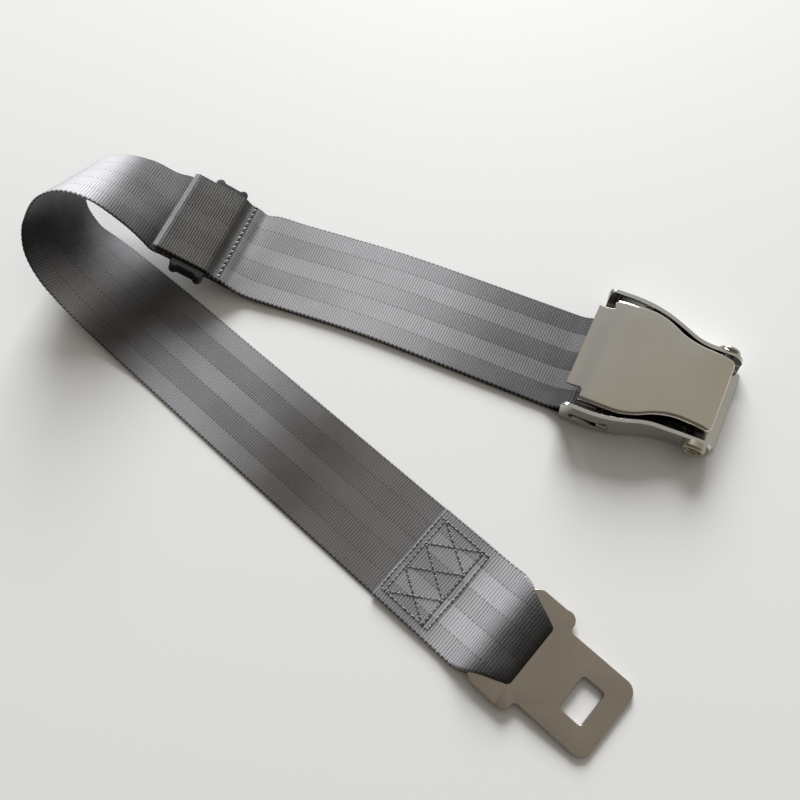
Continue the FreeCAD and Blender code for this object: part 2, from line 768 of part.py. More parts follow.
def rounded_path(points):
    """Lines and arcs along a path with inner points of (x, z, corner radius), as (start, end, arc centre or None)."""
    path = []
    here = V(points[0][0], points[0][1], 0)
    for k in range(1, len(points) - 1):
        corner = V(points[k][0], points[k][1], 0)
        come, go = corner - here, V(points[k + 1][0], points[k + 1][1], 0) - corner
        come.normalize()
        go.normalize()
        half_turn = come.getAngle(go) / 2
        back = points[k][2] * tan(half_turn)
        inward = go - come
        inward.normalize()
        path.append((here, corner - come * back, None))
        path.append((corner - come * back, corner + go * back, corner + inward * (points[k][2] / cos(half_turn))))
        here = corner + go * back
    path.append((here, V(points[-1][0], points[-1][1], 0), None))
    return path


def offset_piece(a, b, centre, shift):
    """Line or arc of a path moved to its left by a shift, with its two ends."""
    if centre is None:
        out = V(a.y - b.y, b.x - a.x, 0)
        out.normalize()
        a, b = a + out * shift, b + out * shift
        return Part.LineSegment(a, b).toShape(), a, b
    left = (b - a).cross(centre - a).z > 0
    radius = (a - centre).Length
    scale = (radius - shift) / radius if left else (radius + shift) / radius
    a, b = centre + (a - centre) * scale, centre + (b - centre) * scale
    middle = (a + b) * 0.5 - centre
    middle.normalize()
    return Part.Arc(a, centre + middle * (radius * scale), b).toShape(), a, b


def bent_strip(points, place, width, thick):
    """Solid strip that bends in the plane of a placement only, along a path of lines and arcs."""
    edges = []
    ends = []
    for shift in (thick / 2, -thick / 2):
        run = [offset_piece(a, b, centre, shift) for a, b, centre in rounded_path(points) if (b - a).Length > 1e-6]
        edges += [piece[0] for piece in run]
        ends.append((run[0][1], run[-1][2]))
    for k in (0, 1):
        edges.append(Part.LineSegment(ends[0][k], ends[1][k]).toShape())
    face = Part.Face(Part.Wire(Part.__sortEdges__(edges)))
    face.rotate(V(0, 0, 0), V(1, 0, 0), 90)
    face.translate(V(0, width / 2, 0))
    strip = face.extrude(V(0, -width, 0))
    strip.Placement = place.multiply(strip.Placement)
    return strip


def slab(a, b, across, width, thick, up):
    """Straight piece of webbing between two middle points."""
    half = across * (width / 2)
    lift = up * (thick / 2)
    corners = [a + half + lift, a - half + lift, a - half - lift, a + half - lift]
    face = Part.Face(Part.makePolygon(corners + [corners[0]]))
    return face.extrude(b - a)


def webbing(doc, s):
    width, thick, gap = s["web_width"], s["web_thick"], s["layer_gap"]
    main_z = thick / 2
    tail_z = main_z + thick + gap
    y_axis = V(0, 1, 0)
    parts = []
    # Loop round the adjuster bar, from the main strap under the cross bar to the tail above it
    bar_x, bar_z = s["bar_x"], s["bar_z"]
    top_z = bar_z + s["bar_radius"] + gap + thick / 2
    loop_r = (top_z - main_z) / 2
    over = bar_z - 1.5 + 0.35 + thick / 2
    rear_x = -s["frame_half_length"]
    join_x = rear_x - 16.0
    front_x = bar_x + loop_r
    turn_a, turn_b = wall_turns(s)
    loop = [
        (turn_a, main_z),
        (front_x, main_z, loop_r - 0.2),
        (front_x, top_z, loop_r - 0.2),
        (bar_x - 2.0, top_z, 6.0),
        (bar_x - 10.5, over, 5.0),
        (rear_x + 2.6, over, 5.0),
        (rear_x - 6.0, tail_z, 12.0),
        (join_x, tail_z),
    ]
    turned = bent_strip(loop, FreeCAD.Placement(V(0, STRAP_Y, 0), FreeCAD.Rotation()), width, thick)
    # The walls press the edges of the loop in
    between = waisted(
        s["frame_half_rear"], s["frame_half_front"], join_x - 1.0, turn_a, turn_b, s["frame_half_length"],
        -s["frame_plate"] - gap)
    parts.append(turned.common(prism(between, "XY", -1.0, 2 * top_z)))
    # Strap from the buckle to the lift-off, both layers, with its slight sideways sweep
    scale = laid(s)
    straight_x = -100.0 * scale
    sweep = [
        (V(straight_x, STRAP_Y, 0), 90.0, 0.0),
        (V(-120.0 * scale, STRAP_Y - 0.1, 0), 90.5, 0.0),
        (V(-145.0 * scale, STRAP_Y - 1.0, 0), 91.8, 0.0),
        (V(-170.0 * scale, STRAP_Y - 2.8, 0), 93.2, 0.0),
        (V(-183.5 * scale, STRAP_Y - 4.0, 0), 94.0, 0.0),
        (V(-199.5 * scale, STRAP_Y - 5.3, 1.9), 94.3, -2.0),
    ]
    parts.append(slab(V(turn_a, STRAP_Y, main_z), V(straight_x, STRAP_Y, main_z), y_axis, width, thick, V(0, 0, 1)))
    parts.append(slab(V(join_x, STRAP_Y, tail_z), V(straight_x, STRAP_Y, tail_z), y_axis, width, thick, V(0, 0, 1)))
    hem = hem_frame(s)
    turn = hem.Rotation
    hem_along, hem_across = turn.multVec(V(1, 0, 0)), turn.multVec(V(0, 1, 0))
    # Both layers rise from the table into the plane of the hem
    hem_start = 8.0
    for level in (0.0, thick + gap):
        lift = V(0, 0, main_z + level)
        line = [(c + lift, across_of(yaw, roll), width) for c, yaw, roll in sweep]
        line.append((hem.multVec(V(hem_start, 0, level)), hem_across, width))
        parts.append(ribbon(line, thick, 2, V(-1, 0, 0), hem_along * -1))
    # Hem of the tail round the upper bar of the keeper
    step = thick + gap
    bar_gap = s["keeper_bar"] + 2 * gap + thick
    high = step + bar_gap
    fold = HEM_FOLD
    front = -3.6
    path = [
        (hem_start, step),
        (hem_start - 1.0, step, 2.5),
        (hem_start - 4.0, 2 * step, 2.5),
        (-1.0, 2 * step, 3.0),
        (front - 0.8, high, 3.0),
        (fold, high, (high - step) / 2 - 0.05),
        (fold, step, (high - step) / 2 - 0.05),
        (3.5, step),
    ]
    parts.append(bent_strip(path, hem, width, thick))
    parts.append(slab(hem.multVec(V(hem_start, 0, 0)), hem.multVec(V(fold, 0, 0)), hem_across, width, thick,
                      turn.multVec(V(0, 0, 1))))
    # Bend over the top and down to the table
    leg = leg_frame(s)
    leg_across, leg_along = leg.Rotation.multVec(V(0, 1, 0)), leg.Rotation.multVec(V(1, 0, 0))
    line = [(hem.multVec(V(fold, 0, 0)), hem_across, width)]
    line += [(V(x, y, z) * scale, across_of(yaw, roll), width) for x, y, z, yaw, roll in BEND]
    line.append((leg.multVec(V(0, 0, main_z)), leg_across, width))
    parts.append(ribbon(line, thick, 3, hem_along * -1, leg_along))
    # Second leg, tongue loop and the flap above it
    dive = DIVE_AT
    parts.append(slab(leg.multVec(V(0, 0, main_z)), leg.multVec(V(dive - 23.0, 0, main_z)), leg_across, width,
                      thick, V(0, 0, 1)))
    flap_z = tail_z
    eye = 5.4
    peak = thick + eye + thick / 2
    shape = [
        (dive - 23.0, main_z, width), (dive - 16.0, main_z, 0.94 * width), (dive - 9.0, main_z, 0.74 * width),
        (dive - 4.0, main_z + 0.15, 0.63 * width), (dive - 1.3, main_z + 1.1, 0.595 * width),
        (dive - 0.6, (main_z + peak) / 2, 0.58 * width), (dive - 1.8, peak - 1.3, 0.59 * width),
        (dive - 5.0, peak - 0.2, 0.63 * width), (dive - 10.0, peak, 0.74 * width),
        (dive - 14.5, peak - 0.5, 0.87 * width), (dive - 18.5, flap_z + 2.3, 0.96 * width),
        (dive - 22.5, flap_z + 0.5, 0.99 * width), (dive - 27.0, flap_z, width),
    ]
    stations = [(leg.multVec(V(x, 0, z)), leg_across, w) for x, z, w in shape]
    parts.append(ribbon(stations, thick, 2, leg_along, leg_along * -1))
    parts.append(slab(leg.multVec(V(dive - 27.0, 0, flap_z)), leg.multVec(V(FLAP_AT, 0, flap_z)), leg_across,
                      width, thick, V(0, 0, 1)))
    whole = parts[0].multiFuse(parts[1:])
    feature = doc.addObject("Part::Feature", "webbing")
    feature.Label = "webbing"
    feature.Shape = whole
    return feature


# Keeper: flat moulded loop, its upper bar in the hem and its lower bar under the main strap
def web_keeper(doc, s):
    body = new_body(doc, "web_keeper")
    thick, gap, bar = s["web_thick"], s["layer_gap"], s["keeper_bar"]
    inside = s["web_width"] / 2 + 0.6
    outside = inside + s["keeper_post"]
    low = -thick / 2 - gap
    high = 1.5 * thick + 2 * gap
    front = -4.6
    rear = front - s["keeper_length"]
    bump, waist = 2.4, 1.2
    side = [
        (rear, -outside + bump),
        (rear + bump, -outside, rear + 0.3 * bump, -outside + 0.3 * bump),
        (rear + 1.8 * bump, -outside + waist, rear + 1.5 * bump, -outside + 0.35 * waist),
        (front - 1.8 * bump, -outside + waist),
        (front - bump, -outside, front - 1.5 * bump, -outside + 0.35 * waist),
        (front, -outside + bump, front - 0.3 * bump, -outside + 0.3 * bump),
        (front, outside - bump),
        (front - bump, outside, front - 0.3 * bump, outside - 0.3 * bump),
        (front - 1.8 * bump, outside - waist, front - 1.5 * bump, outside - 0.35 * waist),
        (rear + 1.8 * bump, outside - waist),
        (rear + bump, outside, rear + 1.5 * bump, outside - 0.35 * waist),
        (rear, outside - bump, rear + 0.3 * bump, outside - 0.3 * bump),
    ]
    sketch = sketch_on(body, "keeper_plan", "XY_Plane", low - bar)
    draw(sketch, side)
    pad(body, "keeper_block", sketch, high + bar - low + bar)
    sketch = sketch_on(body, "keeper_window", "YZ_Plane", -40.0)
    draw(sketch, [(-inside, low), (inside, low), (inside, high), (-inside, high)])
    hole = pocket(body, "keeper_hole", sketch, both=True)
    doc.recompute()
    round_edges(
        body, "keeper_soft_edges", hole, 0.6,
        lambda e: e.BoundBox.ZLength < 0.01 and (e.BoundBox.ZMin < low - bar + 0.01 or e.BoundBox.ZMax > high + bar - 0.01),
    )
    body.Placement = hem_frame(s)
    return body


# Tongue: flat steel plate with the latch window in its blade and a webbing slot behind the shoulders
def tongue_plate(doc, s):
    body = new_body(doc, "tongue_plate")
    thick = s["tongue_plate_thick"]
    half_s, half_b = s["shoulder_width"] / 2, s["blade_width"] / 2
    bar_half = 4.25
    slot_front = 11.7
    shoulder = slot_front + 6.2
    tip = shoulder + 32.4
    rear_r, tip_r = 5.0, 5.0
    side = [
        (-bar_half, half_s - rear_r),
        (-bar_half + rear_r, half_s, -bar_half + CORNER * rear_r, half_s - CORNER * rear_r),
        (shoulder - 6.5, half_s),
        (shoulder - 0.6, half_b + 2.2, shoulder - 1.2, half_s - 1.6),
        (shoulder + 1.6, half_b, shoulder - 0.1, half_b + 0.5),
        (tip - tip_r, half_b),
        (tip, half_b - tip_r, tip - CORNER * tip_r, half_b - CORNER * tip_r),
    ]
    sketch = sketch_on(body, "tongue_outline", "XY_Plane", -thick / 2)
    draw(sketch, side + [(tip, -half_b + tip_r)] + mirrored(side))
    pad(body, "tongue_sheet", sketch, thick, bound="sizes.tongue_plate_thick")
    slot_half, slot_r = 17.0, 2.0
    rear_slot = bar_half
    sketch = sketch_on(body, "tongue_slot", "XY_Plane", -thick)
    draw(sketch, rounded_box(rear_slot, slot_front, -slot_half, slot_half, slot_r))
    pocket(body, "tongue_slot_cut", sketch, up=True)
    win = tip - s["tip_margin"]
    sketch = sketch_on(body, "tongue_window", "XY_Plane", -thick)
    draw(sketch, rounded_box(win - s["window_length"], win, -s["window_width"] / 2, s["window_width"] / 2, 1.6))
    cut = pocket(body, "tongue_window_cut", sketch, up=True)
    doc.recompute()
    round_edges(
        body, "tongue_soft_edges", cut, 0.35,
        lambda e: e.BoundBox.ZLength < 0.01 and (e.BoundBox.XMax > shoulder + 2 or abs(e.BoundBox.Center.y) > half_b - 1),
    )
    # The rear bar hangs in the loop, the tip rests on the table
    centre_z = s["web_thick"] + 2.7
    reach = tip
    tilt = degrees(atan((centre_z - thick / 2) / reach))
    leg = leg_frame(s)
    spot = leg.multVec(V(DIVE_AT - 10.9, 0, centre_z))
    body.Placement = FreeCAD.Placement(spot, leg.Rotation.multiply(FreeCAD.Rotation(V(0, 1, 0), tilt)))
    return body


def rounded_box(x_a, x_b, y_a, y_b, r):
    """Closed outline of a rectangle with rounded corners."""
    k = CORNER * r
    return [
        (x_a, y_a + r),
        (x_a + r, y_a, x_a + k, y_a + k),
        (x_b - r, y_a),
        (x_b, y_a + r, x_b - k, y_a + k),
        (x_b, y_b - r),
        (x_b - r, y_b, x_b - k, y_b - k),
        (x_a + r, y_b),
        (x_a, y_b - r, x_a + k, y_b - k),
    ]


def main():
    doc = FreeCAD.newDocument("seat_belt_extender")
    s = fill_sheet(doc)
    made = [
        buckle_frame(doc, s),
        pivot_pin(doc, s),
        pivot_collar(doc, s),
        pivot_spacers(doc, s),
        lift_cover(doc, s),
        latch_plate(doc, s),
        latch_spring(doc, s),
        adjuster_bar(doc, s),
        webbing(doc, s),
        web_keeper(doc, s),
        tongue_plate(doc, s),
    ]
    doc.recompute()
    for item in doc.Objects:
        bad = [state for state in item.State if state in ("Invalid", "Error")]
        if bad:
            raise RuntimeError("%s: %s" % (item.Name, bad))
    os.makedirs("parts", exist_ok=True)
    for item in made:
        shape = item.Shape
        if shape.isNull() or not shape.isValid():
            raise RuntimeError("%s has no valid shape" % item.Label)
        print("%-16s solids %d  volume %9.1f  box %s" % (item.Label, len(shape.Solids), shape.Volume, [
            round(v, 1) for v in (shape.BoundBox.XMin, shape.BoundBox.XMax, shape.BoundBox.YMin,
                                  shape.BoundBox.YMax, shape.BoundBox.ZMin, shape.BoundBox.ZMax)]))
        shape.exportStep("parts/%s.step" % item.Label)


main()
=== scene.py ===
"""Airline seat belt extender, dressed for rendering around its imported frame.

Lengths in the classes are millimetres unless a name says otherwise; meshes are written in metres.
"""
import logging
from dataclasses import dataclass
from enum import Enum
from typing import Any, Sequence

import bmesh
import bpy
import numpy as np
from mathutils import Matrix, Vector


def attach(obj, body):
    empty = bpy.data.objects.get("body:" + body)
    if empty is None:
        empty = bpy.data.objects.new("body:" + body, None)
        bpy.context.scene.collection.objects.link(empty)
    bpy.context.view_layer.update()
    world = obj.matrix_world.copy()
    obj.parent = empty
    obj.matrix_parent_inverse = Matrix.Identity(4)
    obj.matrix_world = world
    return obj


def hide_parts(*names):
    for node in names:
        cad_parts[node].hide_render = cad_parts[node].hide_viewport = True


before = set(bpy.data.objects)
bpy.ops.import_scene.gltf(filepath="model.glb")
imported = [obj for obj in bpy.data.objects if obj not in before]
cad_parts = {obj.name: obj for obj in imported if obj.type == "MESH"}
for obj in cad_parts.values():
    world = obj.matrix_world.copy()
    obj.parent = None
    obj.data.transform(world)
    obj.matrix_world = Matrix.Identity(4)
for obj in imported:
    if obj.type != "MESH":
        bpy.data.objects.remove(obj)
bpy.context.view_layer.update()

LOG = logging.getLogger("extender")
MM = 0.001
Array = np.ndarray


class Body(Enum):
    """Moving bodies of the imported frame."""

    FRAME = "frame"
    COVER = "cover"
    LATCH = "latch"
    STRAP = "strap"
    KEEPER = "keeper"
    TONGUE = "tongue"


def linear(code: str) -> tuple[float, float, float, float]:
    """Turn an sRGB hex colour into linear RGBA.

    Args:
        code: six hex digits.

    Returns:
        Linear red, green, blue and an alpha of one.
    """
    parts = [int(code[k:k + 2], 16) / 255 for k in (0, 2, 4)]
    red, green, blue = (p / 12.92 if p <= 0.04045 else ((p + 0.055) / 1.055) ** 2.4 for p in parts)
    return red, green, blue, 1.0


def feed(tree: bpy.types.NodeTree, node: bpy.types.Node, inputs: dict[Any, Any]) -> None:
    """Give a node its socket values and links.

    Args:
        tree: node tree that holds the node.
        node: node whose inputs are set.
        inputs: socket name or index to a value or to the output socket it is linked from.
    """
    for key, value in inputs.items():
        if isinstance(value, bpy.types.NodeSocket):
            tree.links.new(value, node.inputs[key])
        else:
            node.inputs[key].default_value = value


def add(tree: bpy.types.NodeTree, kind: str, inputs: dict[Any, Any] | None = None,
        **settings: Any) -> bpy.types.Node:
    """Add a node with its settings, socket values and links.

    Args:
        tree: node tree that gets the node.
        kind: node type, such as "ShaderNodeMath".
        inputs: what feed takes.
        settings: attributes of the node itself.

    Returns:
        The new node.
    """
    node = tree.nodes.new(kind)
    for name, setting in settings.items():
        setattr(node, name, setting)
    feed(tree, node, inputs or {})
    return node


def ranged(tree: bpy.types.NodeTree, value: bpy.types.NodeSocket, old: tuple[float, float],
           new: tuple[float, float], **settings: Any) -> bpy.types.NodeSocket:
    """Carry a value from one range over to another, held at both ends.

    Args:
        tree: node tree that gets the node.
        value: the value.
        old: ends of its range.
        new: what these ends become.
        settings: attributes of the node itself.

    Returns:
        The new value.
    """
    return add(tree, "ShaderNodeMapRange", {
        "Value": value, "From Min": old[0], "From Max": old[1], "To Min": new[0], "To Max": new[1]},
        **settings).outputs[0]


def noise(tree: bpy.types.NodeTree, place: bpy.types.NodeSocket, scale: float, detail: float,
          roughness: float = 0.5) -> bpy.types.NodeSocket:
    """Cloudy noise between about 0.2 and 0.8.

    Args:
        tree: node tree that gets the node.
        place: coordinates that it is laid out in.
        scale: clouds per unit of them.
        detail: number of finer layers.
        roughness: strength of each finer layer.

    Returns:
        The noise.
    """
    return add(tree, "ShaderNodeTexNoise", {
        "Vector": place, "Scale": scale, "Detail": detail, "Roughness": roughness}).outputs["Fac"]


def bump(tree: bpy.types.NodeTree, height: bpy.types.NodeSocket, strength: float, depth_mm: float,
         normal: bpy.types.NodeSocket | None = None) -> bpy.types.NodeSocket:
    """Normal that follows a height.

    Args:
        tree: node tree that gets the node.
        height: height from 0 to 1.
        strength: share of the tilt that is used.
        depth_mm: how high a height of one stands.
        normal: normal to start from, where it isn't the surface's own.

    Returns:
        The tilted normal.
    """
    inputs = {"Height": height, "Strength": strength, "Distance": depth_mm * MM}
    if normal is not None:
        inputs["Normal"] = normal
    return add(tree, "ShaderNodeBump", inputs).outputs[0]


def tinted(tree: bpy.types.NodeTree, colour: str | bpy.types.NodeSocket,
           factor: bpy.types.NodeSocket) -> bpy.types.NodeSocket:
    """Multiply a colour, given as sRGB hex or as a socket, by a factor."""
    start = linear(colour)[:3] if isinstance(colour, str) else colour
    return add(tree, "ShaderNodeVectorMath", {0: start, 1: factor}, operation="MULTIPLY").outputs[0]


def mixed(tree: bpy.types.NodeTree, share: bpy.types.NodeSocket, first: str | bpy.types.NodeSocket,
          second: str | bpy.types.NodeSocket, **settings: Any) -> bpy.types.NodeSocket:
    """Mix two colours.

    Args:
        tree: node tree that gets the node.
        share: share of the second colour.
        first: sRGB hex or the socket of a colour.
        second: likewise.
        settings: attributes of the node itself.

    Returns:
        The mixed colour.
    """
    node = add(tree, "ShaderNodeMix", {"Factor": share}, data_type="RGBA", **settings)
    for name, colour in (("A", first), ("B", second)):
        socket = next(s for s in node.inputs if s.type == "RGBA" and s.name == name)
        if isinstance(colour, str):
            socket.default_value = linear(colour)
        else:
            tree.links.new(colour, socket)
    return next(s for s in node.outputs if s.type == "RGBA")


def new_material(name: str) -> tuple[bpy.types.Material, bpy.types.NodeTree, bpy.types.Node]:
    """Make a material of the given name; returns it, its node tree and its shader."""
    made = bpy.data.materials.new(name)
    made.use_nodes = True
    return made, made.node_tree, made.node_tree.nodes["Principled BSDF"]


def unit(vectors: Array) -> Array:
    """Scale vectors to length one along the last axis."""
    return vectors / np.linalg.norm(vectors, axis=-1, keepdims=True)


def hermite(knots: Array, values: Array, at: Array) -> Array:
    """Smooth curve through rows of values.

    Cubic Hermite pieces between the knots; the slope at a knot is the mean of its two chords' slopes,
    each weighted by the other chord's length.

    Args:
        knots: rising parameters, one per row.
        values: rows of numbers.
        at: parameters to evaluate.

    Returns:
        One row per parameter.
    """
    span = np.diff(knots)[:, None]
    chord = np.diff(values, axis=0) / span
    inner = (chord[:-1] * span[1:] + chord[1:] * span[:-1]) / (span[1:] + span[:-1])
    slope = np.concatenate([chord[:1], inner, chord[-1:]])
    k = np.clip(np.searchsorted(knots, at, side="right") - 1, 0, len(span) - 1)
    run = span[k]
    f = ((at - knots[k]) / run[:, 0])[:, None]
    return (
        (2 * f**3 - 3 * f**2 + 1) * values[k] + (f**3 - 2 * f**2 + f) * run * slope[k]
        + (3 * f**2 - 2 * f**3) * values[k + 1] + (f**3 - f**2) * run * slope[k + 1]
    )


def lengths(points: Array) -> Array:
    """Distance along a row of points from its first one."""
    return np.concatenate([[0.0], np.cumsum(np.linalg.norm(np.diff(points, axis=0), axis=1))])


def softened(values: Array, spread: float) -> Array:
    """Blur rows along their order with a bell of the given spread in rows, holding both ends."""
    reach = int(4 * spread)
    bell = np.exp(-0.5 * (np.arange(-reach, reach + 1) / spread) ** 2)
    bell /= bell.sum()
    ends = np.concatenate([np.repeat(values[:1], reach, 0), values, np.repeat(values[-1:], reach, 0)])
    return np.stack([np.convolve(column, bell, "valid") for column in ends.T], axis=1)


def rounded_run(points: Sequence[tuple[float, ...]]) -> Array:
    """Points along lines joined by tangent arcs.

    Args:
        points: (x, z) at both ends and (x, z, radius) at the corners.

    Returns:
        (n, 2) points.
    """
    step = 0.4
    here = np.array(points[0][:2])
    out = [here[None]]
    for corner, after in zip(points[1:-1], points[2:]):
        tip, radius = np.array(corner[:2]), corner[2]
        come, go = unit(tip - here), unit(np.array(after[:2]) - tip)
        half = np.arccos(np.clip(come @ go, -1, 1)) / 2
        start = tip - come * radius * np.tan(half)
        side = np.sign(come[0] * go[1] - come[1] * go[0])
        normal = np.array([-come[1], come[0]]) * side
        turn = np.linspace(0, 2 * half, max(3, int(2 * half * radius / step)))[:, None]
        out.append(start + radius * (come * np.sin(turn) + normal * (1 - np.cos(turn))))
        here = out[-1][-1]
    out.append(np.array(points[-1][:2])[None])
    return np.concatenate(out)


def ring_faces(rows: int, columns: int) -> Array:
    """Quads of a tube of rings, each ring closed on itself, wound so that they face outwards."""
    r, c = np.meshgrid(np.arange(rows - 1), np.arange(columns), indexing="ij")
    n = (c + 1) % columns
    low, high = r * columns, (r + 1) * columns
    return np.stack([low + c, low + n, high + n, high + c], axis=-1).reshape(-1, 4)


def solid(name: str, points: Array, faces: Sequence[Sequence[int]]) -> bpy.types.Object:
    """Make a smooth-shaded mesh object at the origin.

    Args:
        name: name of the piece.
        points: (n, 3) places in millimetres.
        faces: vertex numbers of each face.

    Returns:
        The linked object.
    """
    mesh = bpy.data.meshes.new(name)
    mesh.from_pydata((points * MM).tolist(), [], [list(map(int, face)) for face in faces])
    mesh.polygons.foreach_set("use_smooth", np.ones(len(mesh.polygons), bool))
    mesh.update()
    piece = bpy.data.objects.new(name, mesh)
    bpy.context.scene.collection.objects.link(piece)
    return piece


def point_values(piece: bpy.types.Object, name: str, values: Array) -> None:
    """Store a vector per vertex as a named attribute.

    Args:
        piece: mesh object.
        name: name of the attribute.
        values: (n, 3) numbers.
    """
    layer = piece.data.attributes.new(name, "FLOAT_VECTOR", "POINT")
    layer.data.foreach_set("vector", np.ascontiguousarray(values, dtype=np.float32).ravel())


def across_of(yaw: Array, roll: Array) -> Array:
    """Unit vectors across the webbing from their yaw in plan and their roll, both in degrees."""
    y, r = np.radians(yaw), np.radians(roll)
    return np.stack([np.cos(y) * np.cos(r), np.sin(y) * np.cos(r), np.sin(r)], axis=-1)


@dataclass(frozen=True)
class PolishedMetal:
    """Sheet steel ground and buffed, with the faint drawn lines that buffing leaves."""

    name: str
    colour: str
    roughness: float = 0.09
    streak: float = 0.03
    edge_mm: float = 0.25

    def material(self) -> bpy.types.Material:
        """Build the material: a mirror broken by fine wiping lines and a little uneven haze."""
        made, tree, shader = new_material(self.name)
        place = add(tree, "ShaderNodeTexCoord").outputs["Object"]
        drawn = add(tree, "ShaderNodeMapping", {"Vector": place, "Scale": (60.0, 1500.0, 1500.0)})
        lines = noise(tree, drawn.outputs[0], 1.0, 3.0)
        haze = noise(tree, place, 45.0, 4.0)
        dull = add(tree, "ShaderNodeMath", {0: haze, 1: lines}, operation="MULTIPLY").outputs[0]
        edge = add(tree, "ShaderNodeBevel", {"Radius": self.edge_mm * MM}, samples=4).outputs[0]
        feed(tree, shader, {
            "Roughness": ranged(tree, dull, (0.1, 0.45), (self.roughness * 0.6, self.roughness * 1.5)),
            "Base Color": tinted(tree, self.colour, ranged(tree, haze, (0.2, 0.8), (0.94, 1.03))),
            "Normal": bump(tree, lines, self.streak, 0.04, edge), "Metallic": 1.0})
        return made


@dataclass(frozen=True)
class SatinMetal:
    """Steel plate tumbled and plated: a soft metal sheen with fine grain, cloudy gloss and soft edges."""

    name: str
    colour: str
    roughness: float = 0.3
    grain_mm: float = 0.12
    edge_mm: float = 0.3

    def material(self) -> bpy.types.Material:
        """Build the material: fine grain bump and cloudy roughness under one metal colour."""
        made, tree, shader = new_material(self.name)
        place = add(tree, "ShaderNodeTexCoord").outputs["Object"]
        grain = noise(tree, place, 1.0 / (self.grain_mm * MM), 2.0)
        cloud = noise(tree, place, 60.0, 5.0, 0.6)
        edge = add(tree, "ShaderNodeBevel", {"Radius": self.edge_mm * MM}, samples=4).outputs[0]
        feed(tree, shader, {
            "Roughness": ranged(tree, cloud, (0.3, 0.7), (self.roughness * 0.82, self.roughness * 1.2)),
            "Base Color": tinted(tree, self.colour, ranged(tree, cloud, (0.25, 0.75), (0.93, 1.06))),
            "Normal": bump(tree, grain, 0.12, 0.03, edge), "Metallic": 1.0})
        return made


@dataclass(frozen=True)
class MouldedPlastic:
    """Injection-moulded nylon, glossy with a fine moulding texture."""

    name: str
    colour: str
    roughness: float = 0.3

    def material(self) -> bpy.types.Material:
        """Build the material: dark base, uneven gloss and a shallow pebble of about 0.4 mm."""
        made, tree, shader = new_material(self.name)
        place = add(tree, "ShaderNodeTexCoord").outputs["Object"]
        cloud = noise(tree, place, 120.0, 3.0)
        feed(tree, shader, {
            "Roughness": ranged(tree, cloud, (0.3, 0.7), (self.roughness * 0.8, self.roughness * 1.3)),
            "Base Color": tinted(tree, self.colour, ranged(tree, cloud, (0.3, 0.7), (0.85, 1.2))),
            "Normal": bump(tree, noise(tree, place, 2500.0, 2.0), 0.2, 0.05), "IOR": 1.53})
        return made


